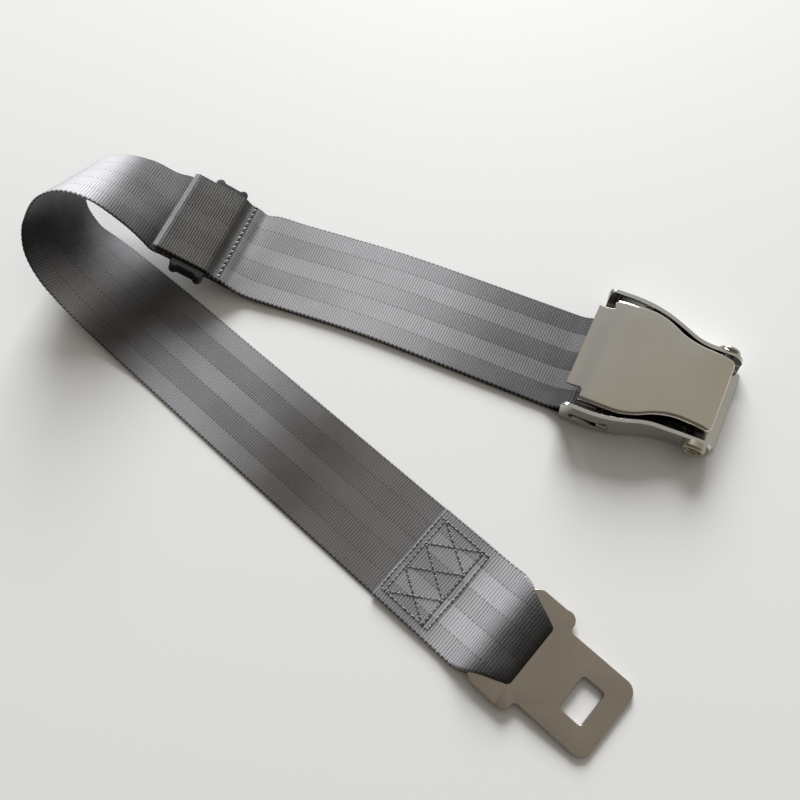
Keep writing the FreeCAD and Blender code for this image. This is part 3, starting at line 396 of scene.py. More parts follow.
@dataclass(frozen=True)
class WovenPolyester:
    """Grey polyester webbing: fine crosswise ribs in five lengthwise bands that lean opposite ways."""

    name: str = "woven_polyester"
    # Yarn colours at painted lightness one and zero; the painted light and shade of the strip runs between them
    light: str = "bab8bb"
    dark: str = "2b2928"
    olive: str = "59534a"
    rib_mm: float = 1.25
    warp_mm: float = 0.8
    band_mm: float = 9.6
    half_mm: float = 24.0
    rim_mm: float = 1.0
    dot_mm: float = 2.2

    def material(self) -> bpy.types.Material:
        """Build the material.

        It reads the mesh's attributes weave (along, across, face) and the painted light along the strip:
        painted lightness, painted sheen that differs band by band, and olive cast.
        """
        made, tree, shader = new_material(self.name)

        def math(operation: str, first: Any, second: Any = 0.0) -> bpy.types.NodeSocket:
            """Output of a math node on sockets or numbers."""
            return add(tree, "ShaderNodeMath", {0: first, 1: second}, operation=operation).outputs[0]

        def lowered(value: bpy.types.NodeSocket, share: float, *where: Any) -> bpy.types.NodeSocket:
            """Value less a share of it where both conditions hold."""
            left = math("SUBTRACT", 1.0, math("MULTIPLY", math("MULTIPLY", *where), share))
            return math("MULTIPLY", value, left)

        weave = add(tree, "ShaderNodeAttribute", attribute_name="weave").outputs["Vector"]
        painted_light = add(tree, "ShaderNodeAttribute", attribute_name="painted_light").outputs["Vector"]
        along, across, _ = add(tree, "ShaderNodeSeparateXYZ", {0: weave}).outputs
        # Painted light along the strip: lightness, sheen that differs band by band, and olive cast
        light, painted_sheen_contrast, olive = add(tree, "ShaderNodeSeparateXYZ", {0: painted_light}).outputs
        # Bands: +1 for the first, third and fifth, -1 for the two between them
        bands = math("DIVIDE", math("ADD", across, self.half_mm), self.band_mm)
        side = math("SUBTRACT", 1.0, math("MULTIPLY", 2.0, math("MODULO", math("FLOOR", bands), 2.0)))
        # Ribs across the webbing: a rounded saw whose lean changes with the band, over the warp's threads
        wobble = math("MULTIPLY", noise(tree, weave, 0.35, 2.0), 0.6)
        phase = math("FRACT", math("DIVIDE", math("ADD", along, wobble), self.rib_mm))
        leaning = math("ADD", 0.5, math("MULTIPLY", side, math("SUBTRACT", phase, 0.5)))
        round_rib = math("SINE", math("MULTIPLY", phase, np.pi))
        ribs = math("ADD", math("MULTIPLY", leaning, 0.35), math("MULTIPLY", round_rib, 0.65))
        threads = math("ABSOLUTE", math("SINE", math("MULTIPLY", across, np.pi / self.warp_mm)))
        height = math("ADD", math("MULTIPLY", ribs, 0.7), math("MULTIPLY", threads, 0.3))
        height = math("ADD", height, math("MULTIPLY", noise(tree, weave, 3.0, 3.0), 0.35))
        # Colour: grey yarn under painted highlights and painted shade along the strip, painted sheen that makes
        # alternate bands lighter or darker, a random cloud and an olive cast in places
        cloud = math("MULTIPLY", math("SUBTRACT", noise(tree, weave, 0.05, 4.0), 0.5), 0.2)
        level = math("ADD", math("ADD", light, math("MULTIPLY", side, painted_sheen_contrast)), cloud)
        yarn = mixed(tree, math("MAXIMUM", level, 0.0), self.dark, self.light, clamp_factor=False)
        yarn = mixed(tree, olive, yarn, self.olive)
        # Painted shade and highlight of the weave: darker in the hollows between the ribs and lighter on their
        # crests; on top of that the weave's own marks, dotted lines where two bands meet and dark gaps at the
        # selvedge
        shade = ranged(tree, height, (0.25, 1.05), (0.4, 1.36))
        dots = math("FRACT", math("DIVIDE", along, self.dot_mm))
        aside = math("ABSOLUTE", across)
        meeting, outermost = 0.466, 20.0
        near_edge = math("ABSOLUTE", math("SUBTRACT", math("FRACT", bands), 0.5))
        line = math("MULTIPLY", math("GREATER_THAN", near_edge, meeting), math("LESS_THAN", aside, outermost))
        shade = lowered(shade, 0.4, line, math("GREATER_THAN", dots, 0.45))
        selvedge = math("GREATER_THAN", aside, self.half_mm - self.rim_mm)
        shade = lowered(shade, 0.6, selvedge, math("GREATER_THAN", dots, 0.4))
        feed(tree, shader, {
            "Base Color": tinted(tree, yarn, shade), "Normal": bump(tree, height, 0.8, 0.34),
            "Roughness": 0.42, "Specular IOR Level": 0.2, "IOR": 1.55,
            "Sheen Weight": 0.05, "Sheen Roughness": 0.35, "Sheen Tint": linear("dfe4ea")})
        return made


@dataclass(frozen=True)
class SewingThread:
    """Twisted bonded thread; its plies show as a fine spiral."""

    name: str
    colour: str
    ply_mm: float = 0.5

    def material(self) -> bpy.types.Material:
        """Build the material: satin yarn with slanting plies along each stitch."""
        made, tree, shader = new_material(self.name)
        place = add(tree, "ShaderNodeTexCoord").outputs["Object"]
        turned = add(tree, "ShaderNodeMapping", {"Vector": place, "Rotation": (0.4, 0.5, 0.8)})
        scale = 0.5 / (self.ply_mm * MM) / np.pi
        plies = add(tree, "ShaderNodeTexWave", {
            "Vector": turned.outputs[0], "Scale": scale, "Distortion": 1.0}).outputs["Fac"]
        feed(tree, shader, {
            "Base Color": tinted(tree, self.colour, ranged(tree, plies, (0.0, 1.0), (0.7, 1.15))),
            "Normal": bump(tree, plies, 0.4, 0.08), "Roughness": 0.45, "Sheen Weight": 0.2})
        return made


@dataclass(frozen=True)
class Place:
    """A set of axes that stands somewhere in the object's frame."""

    origin: tuple[float, float, float]

    def axes(self) -> Array:
        """Rows: along, across and out."""
        raise NotImplementedError

    def place(self, points: Array) -> Array:
        """Turn (along, across, out) points into the object's frame."""
        return np.array(self.origin) + points @ self.axes()


@dataclass(frozen=True)
class HemPlace(Place):
    """Where the hem of the tail stands: a tilted plane above the table."""

    origin: tuple[float, float, float] = (-212.8, -10.6, 7.4)
    pitch: float = 25.0
    roll: float = -7.5
    yaw: float = 97.0

    def axes(self) -> Array:
        """Rows: along towards the buckle, across, and out of the top."""
        across = across_of(self.yaw, self.roll)
        p = np.radians(self.pitch)
        along = np.array([np.cos(p), 0.0, -np.sin(p)])
        along = unit(along - across * (along @ across))
        return np.stack([along, across, np.cross(along, across)])


@dataclass(frozen=True)
class LegPlace(Place):
    """Where the second leg lies: x along it from the end of the bend towards the tongue."""

    origin: tuple[float, float, float] = (-205.5, -71.4, 0.0)
    angle: float = -16.2

    def axes(self) -> Array:
        """Rows: along, across and up."""
        a = np.radians(self.angle)
        return np.array([[np.cos(a), np.sin(a), 0.0], [-np.sin(a), np.cos(a), 0.0], [0.0, 0.0, 1.0]])


@dataclass
class Webbing:
    """The one long strip of webbing, from the flap at the tongue to the turned-in end at the hem."""

    width: float = 48.0
    thick: float = 1.2
    gap: float = 0.3
    step: float = 0.55
    curl: float = 0.65
    tooth: float = 0.16
    rim: float = 0.6
    strap_y: float = -4.2
    flap_at: float = 144.5
    dive_at: float = 209.1
    bar: tuple[float, float, float] = (-13.0, 8.0, 3.2)
    frame_rear: float = -32.0
    frame_turn: float = -21.44
    wall_rear: float = 28.4
    wall_drop: float = 7.8
    wall_end: float = 19.8
    hem: HemPlace = HemPlace()
    leg: LegPlace = LegPlace()
    length: float = 0.0

    def flap_and_eye(self) -> tuple[Array, Array, Array]:
        """Stations from the flap's end round the tongue's rear bar to the leg.

        Returns:
            Middles, across vectors and half widths.
        """
        low, high, peak = self.thick / 2, 1.5 * self.thick + self.gap, 1.5 * self.thick + 5.4
        d = self.dive_at
        half = self.width / 2
        rows = np.array([
            (self.flap_at, high, 1.0), (d - 45.0, high, 1.0), (d - 27.0, high, 1.0),
            (d - 22.5, high + 0.5, 0.985), (d - 18.5, high + 2.3, 0.945), (d - 14.5, peak - 0.5, 0.86),
            (d - 10.0, peak, 0.76), (d - 4.4, peak - 0.2, 0.665), (d - 1.0, peak - 1.2, 0.605),
            (d + 0.3, (low + peak) / 2 + 0.4, 0.585), (d - 0.9, low + 1.1, 0.595),
            (d - 4.0, low + 0.15, 0.63), (d - 9.0, low, 0.74), (d - 16.0, low, 0.92),
            (d - 23.0, low, 1.0), (d - 45.0, low, 1.0), (0.0, low, 1.0)])
        s = lengths(rows[:, :2])
        at = np.concatenate([np.linspace(a, b, 12, endpoint=False) for a, b in zip(s[:-1], s[1:])] + [s[-1:]])
        fine = hermite(s, rows, at)
        local = np.stack([fine[:, 0], np.zeros(len(fine)), fine[:, 1]], axis=1)
        across = np.broadcast_to(self.leg.axes()[1], local.shape)
        return self.leg.place(local), across, half * np.clip(fine[:, 2], 0.5, 1.0)

    def bend(self) -> tuple[Array, Array]:
        """Stations of the bend from the leg over the top to the hem: middles and across."""
        rows = np.array([
            (-220.0, -67.2, 1.0, 73.8, -0.8), (-237.0, -62.4, 2.2, 74.0, -3.3),
            (-253.7, -57.6, 4.4, 74.6, -8.1), (-269.7, -52.8, 7.6, 76.1, -15.5),
            (-279.9, -49.4, 10.5, 78.5, -22.5), (-292.6, -42.4, 16.9, 87.9, -35.8),
            (-296.8, -36.1, 23.5, 98.0, -40.2), (-293.2, -25.1, 34.9, 107.5, -38.1),
            (-285.0, -19.0, 39.0, 109.6, -34.8), (-269.3, -13.7, 37.8, 108.6, -27.2),
            (-259.1, -12.5, 33.3, 105.7, -21.0), (-246.0, -12.5, 24.0, 100.0, -12.5)])
        return rows[:, :3], across_of(rows[:, 3], rows[:, 4])

    def lower_strap(self) -> tuple[Array, Array]:
        """Stations of the lower layer from the hem to the buckle: middles and across."""
        low = self.thick / 2
        y = self.strap_y
        rows = np.array([
            (-199.5, y - 5.3, low + 2.1, 94.3, -2.0), (-183.5, y - 4.0, low + 0.7, 94.0, -0.4),
            (-170.0, y - 2.8, low + 0.15, 93.2, 0.0), (-157.0, y - 1.8, low, 92.5, 0.0),
            (-145.0, y - 1.0, low, 91.8, 0.0), (-120.0, y - 0.1, low, 90.5, 0.0),
            (-100.0, y, low, 90.0, 0.0)])
        return rows[:, :3], across_of(rows[:, 3], rows[:, 4])

    def bar_loop(self) -> Array:
        """Middles through the buckle: under the cross bar, round the adjuster bar and out on top."""
        bar_x, bar_z, bar_r = self.bar
        low, tail = self.thick / 2, 1.5 * self.thick + self.gap
        top = bar_z + bar_r + self.gap + low
        turn = (top - low) / 2
        cross_bar_top, clear = bar_z - 1.5, 0.35
        over = cross_bar_top + clear + low
        run = rounded_run([
            (self.frame_turn, low), (bar_x + turn, low, turn - 0.2), (bar_x + turn, top, turn - 0.2),
            (bar_x - 2.0, top, 6.0), (bar_x - 10.5, over, 5.0), (self.frame_rear + 2.6, over, 5.0),
            (self.frame_rear - 6.0, tail, 12.0), (self.frame_rear - 16.0, tail)])
        return np.stack([run[:, 0], np.full(len(run), self.strap_y), run[:, 1]], axis=1)

    def hem_fold(self) -> Array:
        """Middles of the hem in its own plane: over the keeper's upper bar and back to its turned-in end."""
        layer = self.thick + self.gap
        keeper_bar, fold_at = 2.0, -31.7
        high = layer + keeper_bar + 2 * self.gap + self.thick
        turn = (high - layer) / 2 - 0.05
        run = rounded_run([
            (8.0, layer), (7.0, layer, 2.5), (4.0, 2 * layer, 2.5), (-1.0, 2 * layer, 3.0),
            (-4.4, high, 3.0), (fold_at, high, turn), (fold_at, layer, turn), (3.5, layer)])
        return np.stack([run[:, 0], np.zeros(len(run)), run[:, 1]], axis=1)

    def line(self) -> tuple[Array, Array, Array, dict[str, float]]:
        """Middle line of the whole strip at even steps.

        The parts' stations are joined in order, blurred a little where straight and bent parts meet, and
        read again every step.

        Returns:
            Middles, across vectors, half widths, and the lengths along the strip at its landmarks.
        """
        y_axis = np.array([0.0, 1.0, 0.0])
        half = self.width / 2
        eye, eye_across, eye_half = self.flap_and_eye()
        bend, bend_across = self.bend()
        hem_axes = self.hem.axes()
        base = self.hem.place(np.array([(x, 0, 0) for x in (-33.5, -26.0, -18.0, -9.0, 0.0, 8.0)]))
        lower, lower_across = self.lower_strap()
        loop = self.bar_loop()
        lift = np.array([0.0, 0.0, self.thick + self.gap])
        upper, upper_across = lower[::-1] + lift, lower_across[::-1]
        fold = self.hem.place(self.hem_fold())
        # The stretches that only a few stations describe are filled in with a smooth curve
        curve = np.concatenate([eye[-2:], bend, base, lower])
        curve_across = np.concatenate([
            eye_across[-2:], bend_across, np.broadcast_to(hem_axes[1], base.shape), lower_across])
        s = lengths(curve)
        at = np.arange(s[1], s[-1], 1.0)
        run = hermite(s, np.concatenate([curve, curve_across], axis=1), at)
        back = np.concatenate([loop[-2:], upper, fold[:2]])
        back_across = np.concatenate([
            np.broadcast_to(y_axis, (2, 3)), upper_across, np.broadcast_to(hem_axes[1], (2, 3))])
        s_back = lengths(back)
        at_back = np.arange(s_back[1] + 0.5, s_back[-2], 1.0)
        run_back = hermite(s_back, np.concatenate([back, back_across], axis=1), at_back)
        parts = [eye[:-1], run[:, :3], loop, run_back[:, :3], fold]
        across = [
            eye_across[:-1], run[:, 3:], np.broadcast_to(y_axis, loop.shape), run_back[:, 3:],
            np.broadcast_to(hem_axes[1], fold.shape)]
        middle = np.concatenate(parts)
        widths = np.concatenate([eye_half[:-1], np.full(len(middle) - len(eye) + 1, half)])
        marks = np.cumsum([len(part) for part in parts])
        s = lengths(middle)
        keep = np.concatenate([[True], np.diff(s) > 1e-6])
        every = np.concatenate([middle, np.concatenate(across), widths[:, None]], axis=1)
        places = dict(zip(("eye", "lower", "loop", "upper", "fold"), s[np.minimum(marks, len(s)) - 1]))
        fine_step, blur = 0.25, 3.0
        fine_at = np.arange(0.0, s[-1], fine_step)
        fine = np.stack([np.interp(fine_at, s[keep], column[keep]) for column in every.T], axis=1)
        fine = softened(fine, blur)
        s = lengths(fine[:, :3])
        at = np.arange(0.0, s[-1], self.step)
        even = np.stack([np.interp(at, s, column) for column in fine.T], axis=1)
        return even[:, :3], unit(even[:, 3:6]), even[:, 6], places

    def bent_from(self, half: Array) -> Array:
        """Where the curl of the edges starts, from half widths seen from above: (stations, 1) distances."""
        return (half - self.curl * np.minimum(1.0, (self.width / 2 - half) / self.curl))[:, None]

    def columns(self, half: Array) -> Array:
        """Places across the strip for each station: flat part, curled edge and turned-under rest.

        Args:
            half: half width seen from above at each station.

        Returns:
            (stations, columns) signed distances across the flat strip, from edge to edge.
        """
        full, least_rest = self.width / 2, 0.9
        curl = np.pi * self.curl
        start = np.minimum(self.bent_from(half), full - curl - least_rest)
        flat = np.linspace(0, 1, 6)[None] * start
        turned = start + curl * np.linspace(0, 1, 7)[None, 1:]
        rest = start + curl + (full - self.rim - start - curl) * np.linspace(0, 1, 3)[None, 1:]
        rim = np.broadcast_to(np.array([full - 0.35, full - 0.1, full]), (len(half), 3))
        right = np.concatenate([flat, turned, rest, rim], axis=1)
        return np.concatenate([-right[:, :0:-1], right], axis=1)

    def build(self) -> bpy.types.Object:
        """Build the strip as a closed solid with its attributes.

        Across the strip a point moves out flat, round the curl (out by the sine, down by one less the cosine
        of the turned angle) and back under; the two faces are half a thickness off on either side, less
        towards the rim, where they meet in a half round.

        Returns:
            The mesh object.
        """
        middle, across, half, places = self.line()
        full = self.width / 2
        along = unit(np.gradient(middle, axis=0))
        across = unit(across - along * np.sum(across * along, axis=1, keepdims=True))
        out = np.cross(along, across)
        s = np.arange(len(middle)) * self.step
        flat = self.columns(half)
        bent_from = self.bent_from(half)
        over = np.maximum(np.abs(flat) - bent_from, 0.0)
        angle = np.minimum(over / self.curl, np.pi)
        beyond = np.maximum(over - np.pi * self.curl, 0.0)
        sign = np.sign(flat)
        reach = np.minimum(np.abs(flat), bent_from) + self.curl * np.sin(angle) - beyond
        drop = self.curl * (1 - np.cos(angle))
        saw = self.tooth * np.where(np.arange(len(s)) % 4 < 2, 0.5, -0.5)[:, None]
        reach = reach + saw * (np.abs(flat) > full - 0.5) * np.cos(angle)
        near_rim = np.maximum(np.abs(flat) - (full - self.rim), 0)
        thin = np.sqrt(np.clip(1 - (near_rim / self.rim) ** 2, 0, 1))
        centre = (middle[:, None] + across[:, None] * (sign * reach)[..., None]
                  - out[:, None] * drop[..., None])
        normal = across[:, None] * (sign * np.sin(angle))[..., None] + out[:, None] * np.cos(angle)[..., None]
        shift = (self.thick / 2 * thin)[..., None] * normal
        top, bottom = centre + shift, centre - shift
        trim = self.wall_gap(centre) * ((s > places["lower"]) & (s < places["upper"]))[:, None]
        top[..., 1] += trim
        bottom[..., 1] += trim
        ring = np.concatenate([top, bottom[:, -2:0:-1]], axis=1)
        rows, columns = ring.shape[:2]
        faces = ring_faces(rows, columns)
        cap = np.arange(columns)
        quads = faces.tolist() + [cap[::-1].tolist(), (cap + (rows - 1) * columns).tolist()]
        piece = solid("webbing_strip", ring.reshape(-1, 3), quads)
        wide = np.concatenate([flat, flat[:, -2:0:-1]], axis=1)
        face = np.concatenate([np.ones_like(flat), -np.ones_like(flat[:, -2:0:-1])], axis=1)
        weave = np.stack([np.broadcast_to(s[:, None], wide.shape), wide, face], axis=-1)
        point_values(piece, "weave", weave.reshape(-1, 3))
        painted_light = self.painted_shading(s, places)[:, None] * np.ones((1, columns, 1))
        point_values(piece, "painted_light", painted_light.reshape(-1, 3))
        self.length = float(s[-1])
        LOG.info("webbing strip %.0f mm long, landmarks %s", self.length,
                 {name: round(float(at)) for name, at in places.items()})
        return piece

    def wall_gap(self, centre: Array) -> Array:
        """How far edges inside the buckle move in so that they stay between the narrowing walls."""
        x, y = centre[..., 0], centre[..., 1]
        f = np.clip((x - self.frame_turn) / (self.wall_end - self.frame_turn), 0, 1)
        share = np.where(f < 0.5, 2 * f**2, 1 - 2 * (1 - f) ** 2)
        limit = self.wall_rear - self.wall_drop * share
        return np.where(x > self.frame_turn - 2, np.clip(y, -limit, limit) - y, 0.0)

    def painted_shading(self, s: Array, places: dict[str, float]) -> Array:
        """Painted light along the strip: lightness with painted highlights and painted shade, painted sheen
        that differs band by band, and olive cast.

        Args:
            s: lengths along the strip.
            places: lengths at the landmarks.

        Returns:
            (n, 3) values between stated points, joined smoothly.
        """
        eye, loop, upper = places["eye"], places["loop"], places["upper"]
        # Rows: length along the strip, painted lightness, painted band sheen, olive cast. The painted lightness
        # is low where the strip lies in shade (the flap's dive, the hem's top) and high for painted highlights
        # (on the flap, over the bend, at the hem's fold)
        rows = np.array([
            (0.0, 0.42, -0.03, 0.0), (22.0, 0.5, -0.06, 0.0), (38.0, 0.85, -0.08, 0.0),
            (47.0, 0.5, -0.05, 0.0), (53.0, 0.1, 0.0, 0.0), (60.0, 0.0, 0.0, 0.0), (74.0, 0.0, 0.0, 0.0),
            (90.0, 0.2, 0.0, 0.3), (140.0, 0.27, 0.0, 0.4), (170.0, 0.2, 0.01, 0.5),
            (196.0, 0.08, 0.03, 0.4), (230.0, 0.4, 0.08, 0.2), (eye, 0.5, 0.09, 0.0),
            (285.0, 0.48, 0.05, 0.0), (300.0, 0.25, 0.02, 0.1), (314.0, 0.08, 0.0, 0.2),
            (326.0, 0.25, 0.0, 0.0), (340.0, 0.75, 0.0, 0.0), (352.0, 0.5, 0.0, 0.0),
            (364.0, 0.1, 0.0, 0.0), (382.0, 0.06, 0.0, 0.0), (393.0, 0.4, 0.0, 0.0),
            (404.0, 0.7, 0.0, 0.0), (415.0, 1.05, 0.0, 0.0), (423.0, 1.0, 0.0, 0.0),
            (434.0, 0.2, 0.0, 0.0), (446.0, 0.14, 0.0, 0.0), (loop - 6.0, 0.2, -0.08, 0.0),
            (loop + 24.0, 0.3, -0.08, 0.0), (loop + 55.0, 0.62, -0.08, 0.0),
            (loop + 90.0, 0.76, -0.01, 0.0), (loop + 125.0, 0.6, 0.07, 0.0),
            (upper - 14.0, 0.55, 0.05, 0.0), (upper + 2.0, 0.4, 0.02, 0.0),
            (upper + 7.0, 0.22, 0.0, 0.1), (upper + 12.0, 0.02, 0.0, 0.2), (upper + 37.0, 0.0, 0.0, 0.2),
            (upper + 41.0, 0.6, 0.0, 0.0), (upper + 45.0, 0.1, 0.0, 0.2)])
        return hermite(rows[:, 0], rows[:, 1:], np.clip(s, 0, upper + 45.0))


@dataclass
class Stitches:
    """Lines of sewing on the webbing: the row at the hem and the crossed box on the flap."""

    hem: HemPlace
    leg: LegPlace
    flap_top: float = 2.7
    hem_top: float = 3.6

    @staticmethod
    def capsules(starts: Array, ends: Array, ups: Array, radius: float, sink: float) -> tuple[Array, Array]:
        """Short threads from start to end that rise and dive.

        Each thread is a tube of six rings of six points: a ring's middle goes from start to end and lifts by
        a half sine, and its radius swells by the root of the same sine.

        Args:
            starts: (n, 3) first ends.
            ends: (n, 3) second ends.
            ups: (n, 3) unit vectors out of the cloth.
            radius: radius at the middle.
            sink: how deep the ends go into the cloth.

        Returns:
            Points and quads of all threads.
        """
        rings, sides, shy = 6, 6, 0.06
        f = np.linspace(0, 1, rings)
        swell = np.sqrt(np.sin(np.pi * (shy + (1 - 2 * shy) * f)))
        middle = starts[:, None] + (ends - starts)[:, None] * f[None, :, None]
        middle = middle + ups[:, None] * (np.sin(np.pi * f) * (sink + radius * 0.5) - sink)[None, :, None]
        along = unit(ends - starts)
        side = np.cross(ups, along)
        a = np.arange(sides) * 2 * np.pi / sides
        circle = side[:, None, :] * np.cos(a)[None, :, None] + ups[:, None, :] * np.sin(a)[None, :, None]
        points = middle[:, :, None] + circle[:, None] * (radius * swell)[None, :, None, None]
        quads = ring_faces(rings, sides)[:, ::-1]
        caps = np.array([[0, 1, 2, 3], [0, 3, 4, 5]])
        last = (rings - 1) * sides
        local = np.concatenate([quads, caps, caps[:, ::-1] + last])
        count = len(starts)
        faces = (local[None] + (np.arange(count) * rings * sides)[:, None, None]).reshape(-1, 4)
        return points.reshape(-1, 3), faces

    @staticmethod
    def seam(corners: Sequence[tuple[float, float]], pitch: float, share: float,
             offset: float) -> tuple[Array, Array]:
        """Ends of even stitches along a path of straight runs, in the plane of the cloth.

        Args:
            corners: (x, y) corners of the path.
            pitch: wanted distance from stitch to stitch.
            share: visible share of each stitch.
            offset: start of the first one, in stitches.

        Returns:
            First and second ends, both (n, 2).
        """
        first, second = [], []
        for a, b in zip(corners[:-1], corners[1:]):
            a, b = np.array(a), np.array(b)
            count = max(1, round(float(np.linalg.norm(b - a)) / pitch))
            f = np.arange(count)[:, None] / count
            first.append(a + (b - a) * (f + (offset + (1 - share) / 2) / count))
            second.append(a + (b - a) * (f + (offset + (1 + share) / 2) / count))
        return np.concatenate(first), np.concatenate(second)

    def sew(self, name: str, ground: Place, starts: Array, stops: Array, radius: float,
            sink: float) -> bpy.types.Object:
        """Make the threads of one piece.

        Args:
            name: name of the piece.
            ground: place of the cloth.
            starts: (n, 3) first ends on the cloth.
            stops: (n, 3) second ends.
            radius: radius of a thread at its middle.
            sink: how deep the ends go into the cloth.

        Returns:
            The mesh object.
        """
        starts, stops = ground.place(starts), ground.place(stops)
        ups = np.broadcast_to(ground.axes()[2], starts.shape)
        points, faces = self.capsules(starts, stops, ups, radius, sink)
        return solid(name, points, faces)

    def box(self) -> tuple[bpy.types.Object, bpy.types.Object]:
        """Crossed box that holds the flap: double rows at the ends, rows at the sides, three crosses between.

        Returns:
            The threads and the dark sunk pieces between them, painted shade in each needle hole.
        """
        at, edge, pitch = Webbing.flap_at, 19.6, 2.35
        rear, rear_in, front_in, front = at + 1.2, at + 3.6, at + 24.6, at + 27.4
        runs = [
            [(rear, -edge), (rear, edge)],
            [(rear_in, -edge), (rear_in, edge)],
            [(front_in, -edge), (front_in, edge)],
            [(front, -edge + 0.4), (front + 0.5, 0.0), (front, edge - 0.5)],
            [(rear, edge), (front, edge)],
            [(rear, -edge), (front, -edge)],
            [(rear_in, edge), (front_in, 7.0), (rear_in, -6.3), (front_in, -edge)],
            [(front_in, edge), (rear_in, 6.8), (front_in, -6.8), (rear_in, -edge)],
        ]
        made = []
        # The second set is dark pieces sunk into the needle holes: painted shade
        for name, offset, share, radius, sink in (
                ("flap_box_stitching", 0.0, 0.62, 0.42, 0.2), ("flap_box_hole_shade", 0.5, 0.34, 0.4, 0.36)):
            ends = [self.seam(run, pitch, share, offset) for run in runs]
            first = np.concatenate([pair[0] for pair in ends])
            second = np.concatenate([pair[1] for pair in ends])
            slant = np.random.default_rng(4).normal(0, 0.1, second.shape)
            level = np.full((len(first), 1), self.flap_top)
            starts = np.concatenate([first + slant, level], axis=1)
            stops = np.concatenate([second - slant, level], axis=1)
            made.append(self.sew(name, self.leg, starts, stops, radius, sink))
        return made[0], made[1]

    def row(self) -> tuple[bpy.types.Object, bpy.types.Object]:
        """Row along the hem: pale threads with a dark sunk stitch between each two, which stands for the shade
        in the needle holes (painted shade).
        """
        count, half_row, seam_at, lean = 15, 21.5, 1.6, np.array([0.55, 0.0, 0.0])
        y = np.linspace(-half_row, half_row, count)[:, None]
        x, top = np.full_like(y, seam_at), np.full_like(y, self.hem_top)
        made = []
        # The second set is dark pieces sunk between the pale threads: painted shade of the needle holes
        for name, shift, reach, radius, sink in (
                ("hem_stitches_pale", 0.0, 0.75, 0.42, 0.1), ("hem_stitch_hole_shade", 1.5, 0.8, 0.5, 0.3)):
            starts = np.concatenate([x, y + shift - reach, top], axis=1) - lean
            stops = np.concatenate([x, y + shift + reach, top], axis=1) + lean
            made.append(self.sew(name, self.hem, starts, stops, radius, sink))
        return made[0], made[1]


@dataclass
class PolishedCopy:
    """Smooth-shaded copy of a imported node, so that a mirror finish shows its curves and not its triangles."""

    node: str
    body: Body
    slot: str
    finish: PolishedMetal | SatinMetal | MouldedPlastic
    crease: float = 28.0
    slot_draw: float = 0.0

    def build(self) -> bpy.types.Object:
        """Copy the node's mesh, merge its points, shade it smooth up to the crease angle and dress it."""
        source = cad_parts[self.node]
        mesh = source.data.copy()
        mesh.name = self.node + "_smooth"
        work = bmesh.new()
        work.from_mesh(mesh)
        work.transform(source.matrix_world)
        merge_m, sliver_m = 2e-6, 1e-7
        bmesh.ops.remove_doubles(work, verts=work.verts, dist=merge_m)
        bmesh.ops.dissolve_degenerate(work, edges=work.edges, dist=sliver_m)
        if self.slot_draw:
            self.draw_slot_in(work)
        work.to_mesh(mesh)
        work.free()
        mesh.polygons.foreach_set("use_smooth", np.ones(len(mesh.polygons), bool))
        mesh.set_sharp_from_angle(angle=np.radians(self.crease))
        mesh.materials.clear()
        mesh.materials.append(self.finish.material())
        piece = bpy.data.objects.new(self.node + "_smooth", mesh)
        bpy.context.scene.collection.objects.link(piece)
        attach(piece, self.body.value)
        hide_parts(self.node)
        LOG.info("%s: %d faces", piece.name, len(mesh.polygons))
        return piece

    def draw_slot_in(self, work: bmesh.types.BMesh) -> None:
        """Bring both ends of the tongue's webbing slot closer to the webbing.

        Args:
            work: mesh whose points in the slot's reach move towards the middle.
        """
        leg, at = LegPlace(), Webbing.dive_at
        behind, ahead, inner, outer = 8.5, 1.6, 12.0, 17.5
        for vert in work.verts:
            along, across, _ = (np.array(vert.co) / MM - leg.origin) @ leg.axes().T
            if at - behind < along < at + ahead and inner < abs(across) < outer:
                vert.co -= Vector(leg.axes()[1] * np.sign(across) * self.slot_draw * MM)


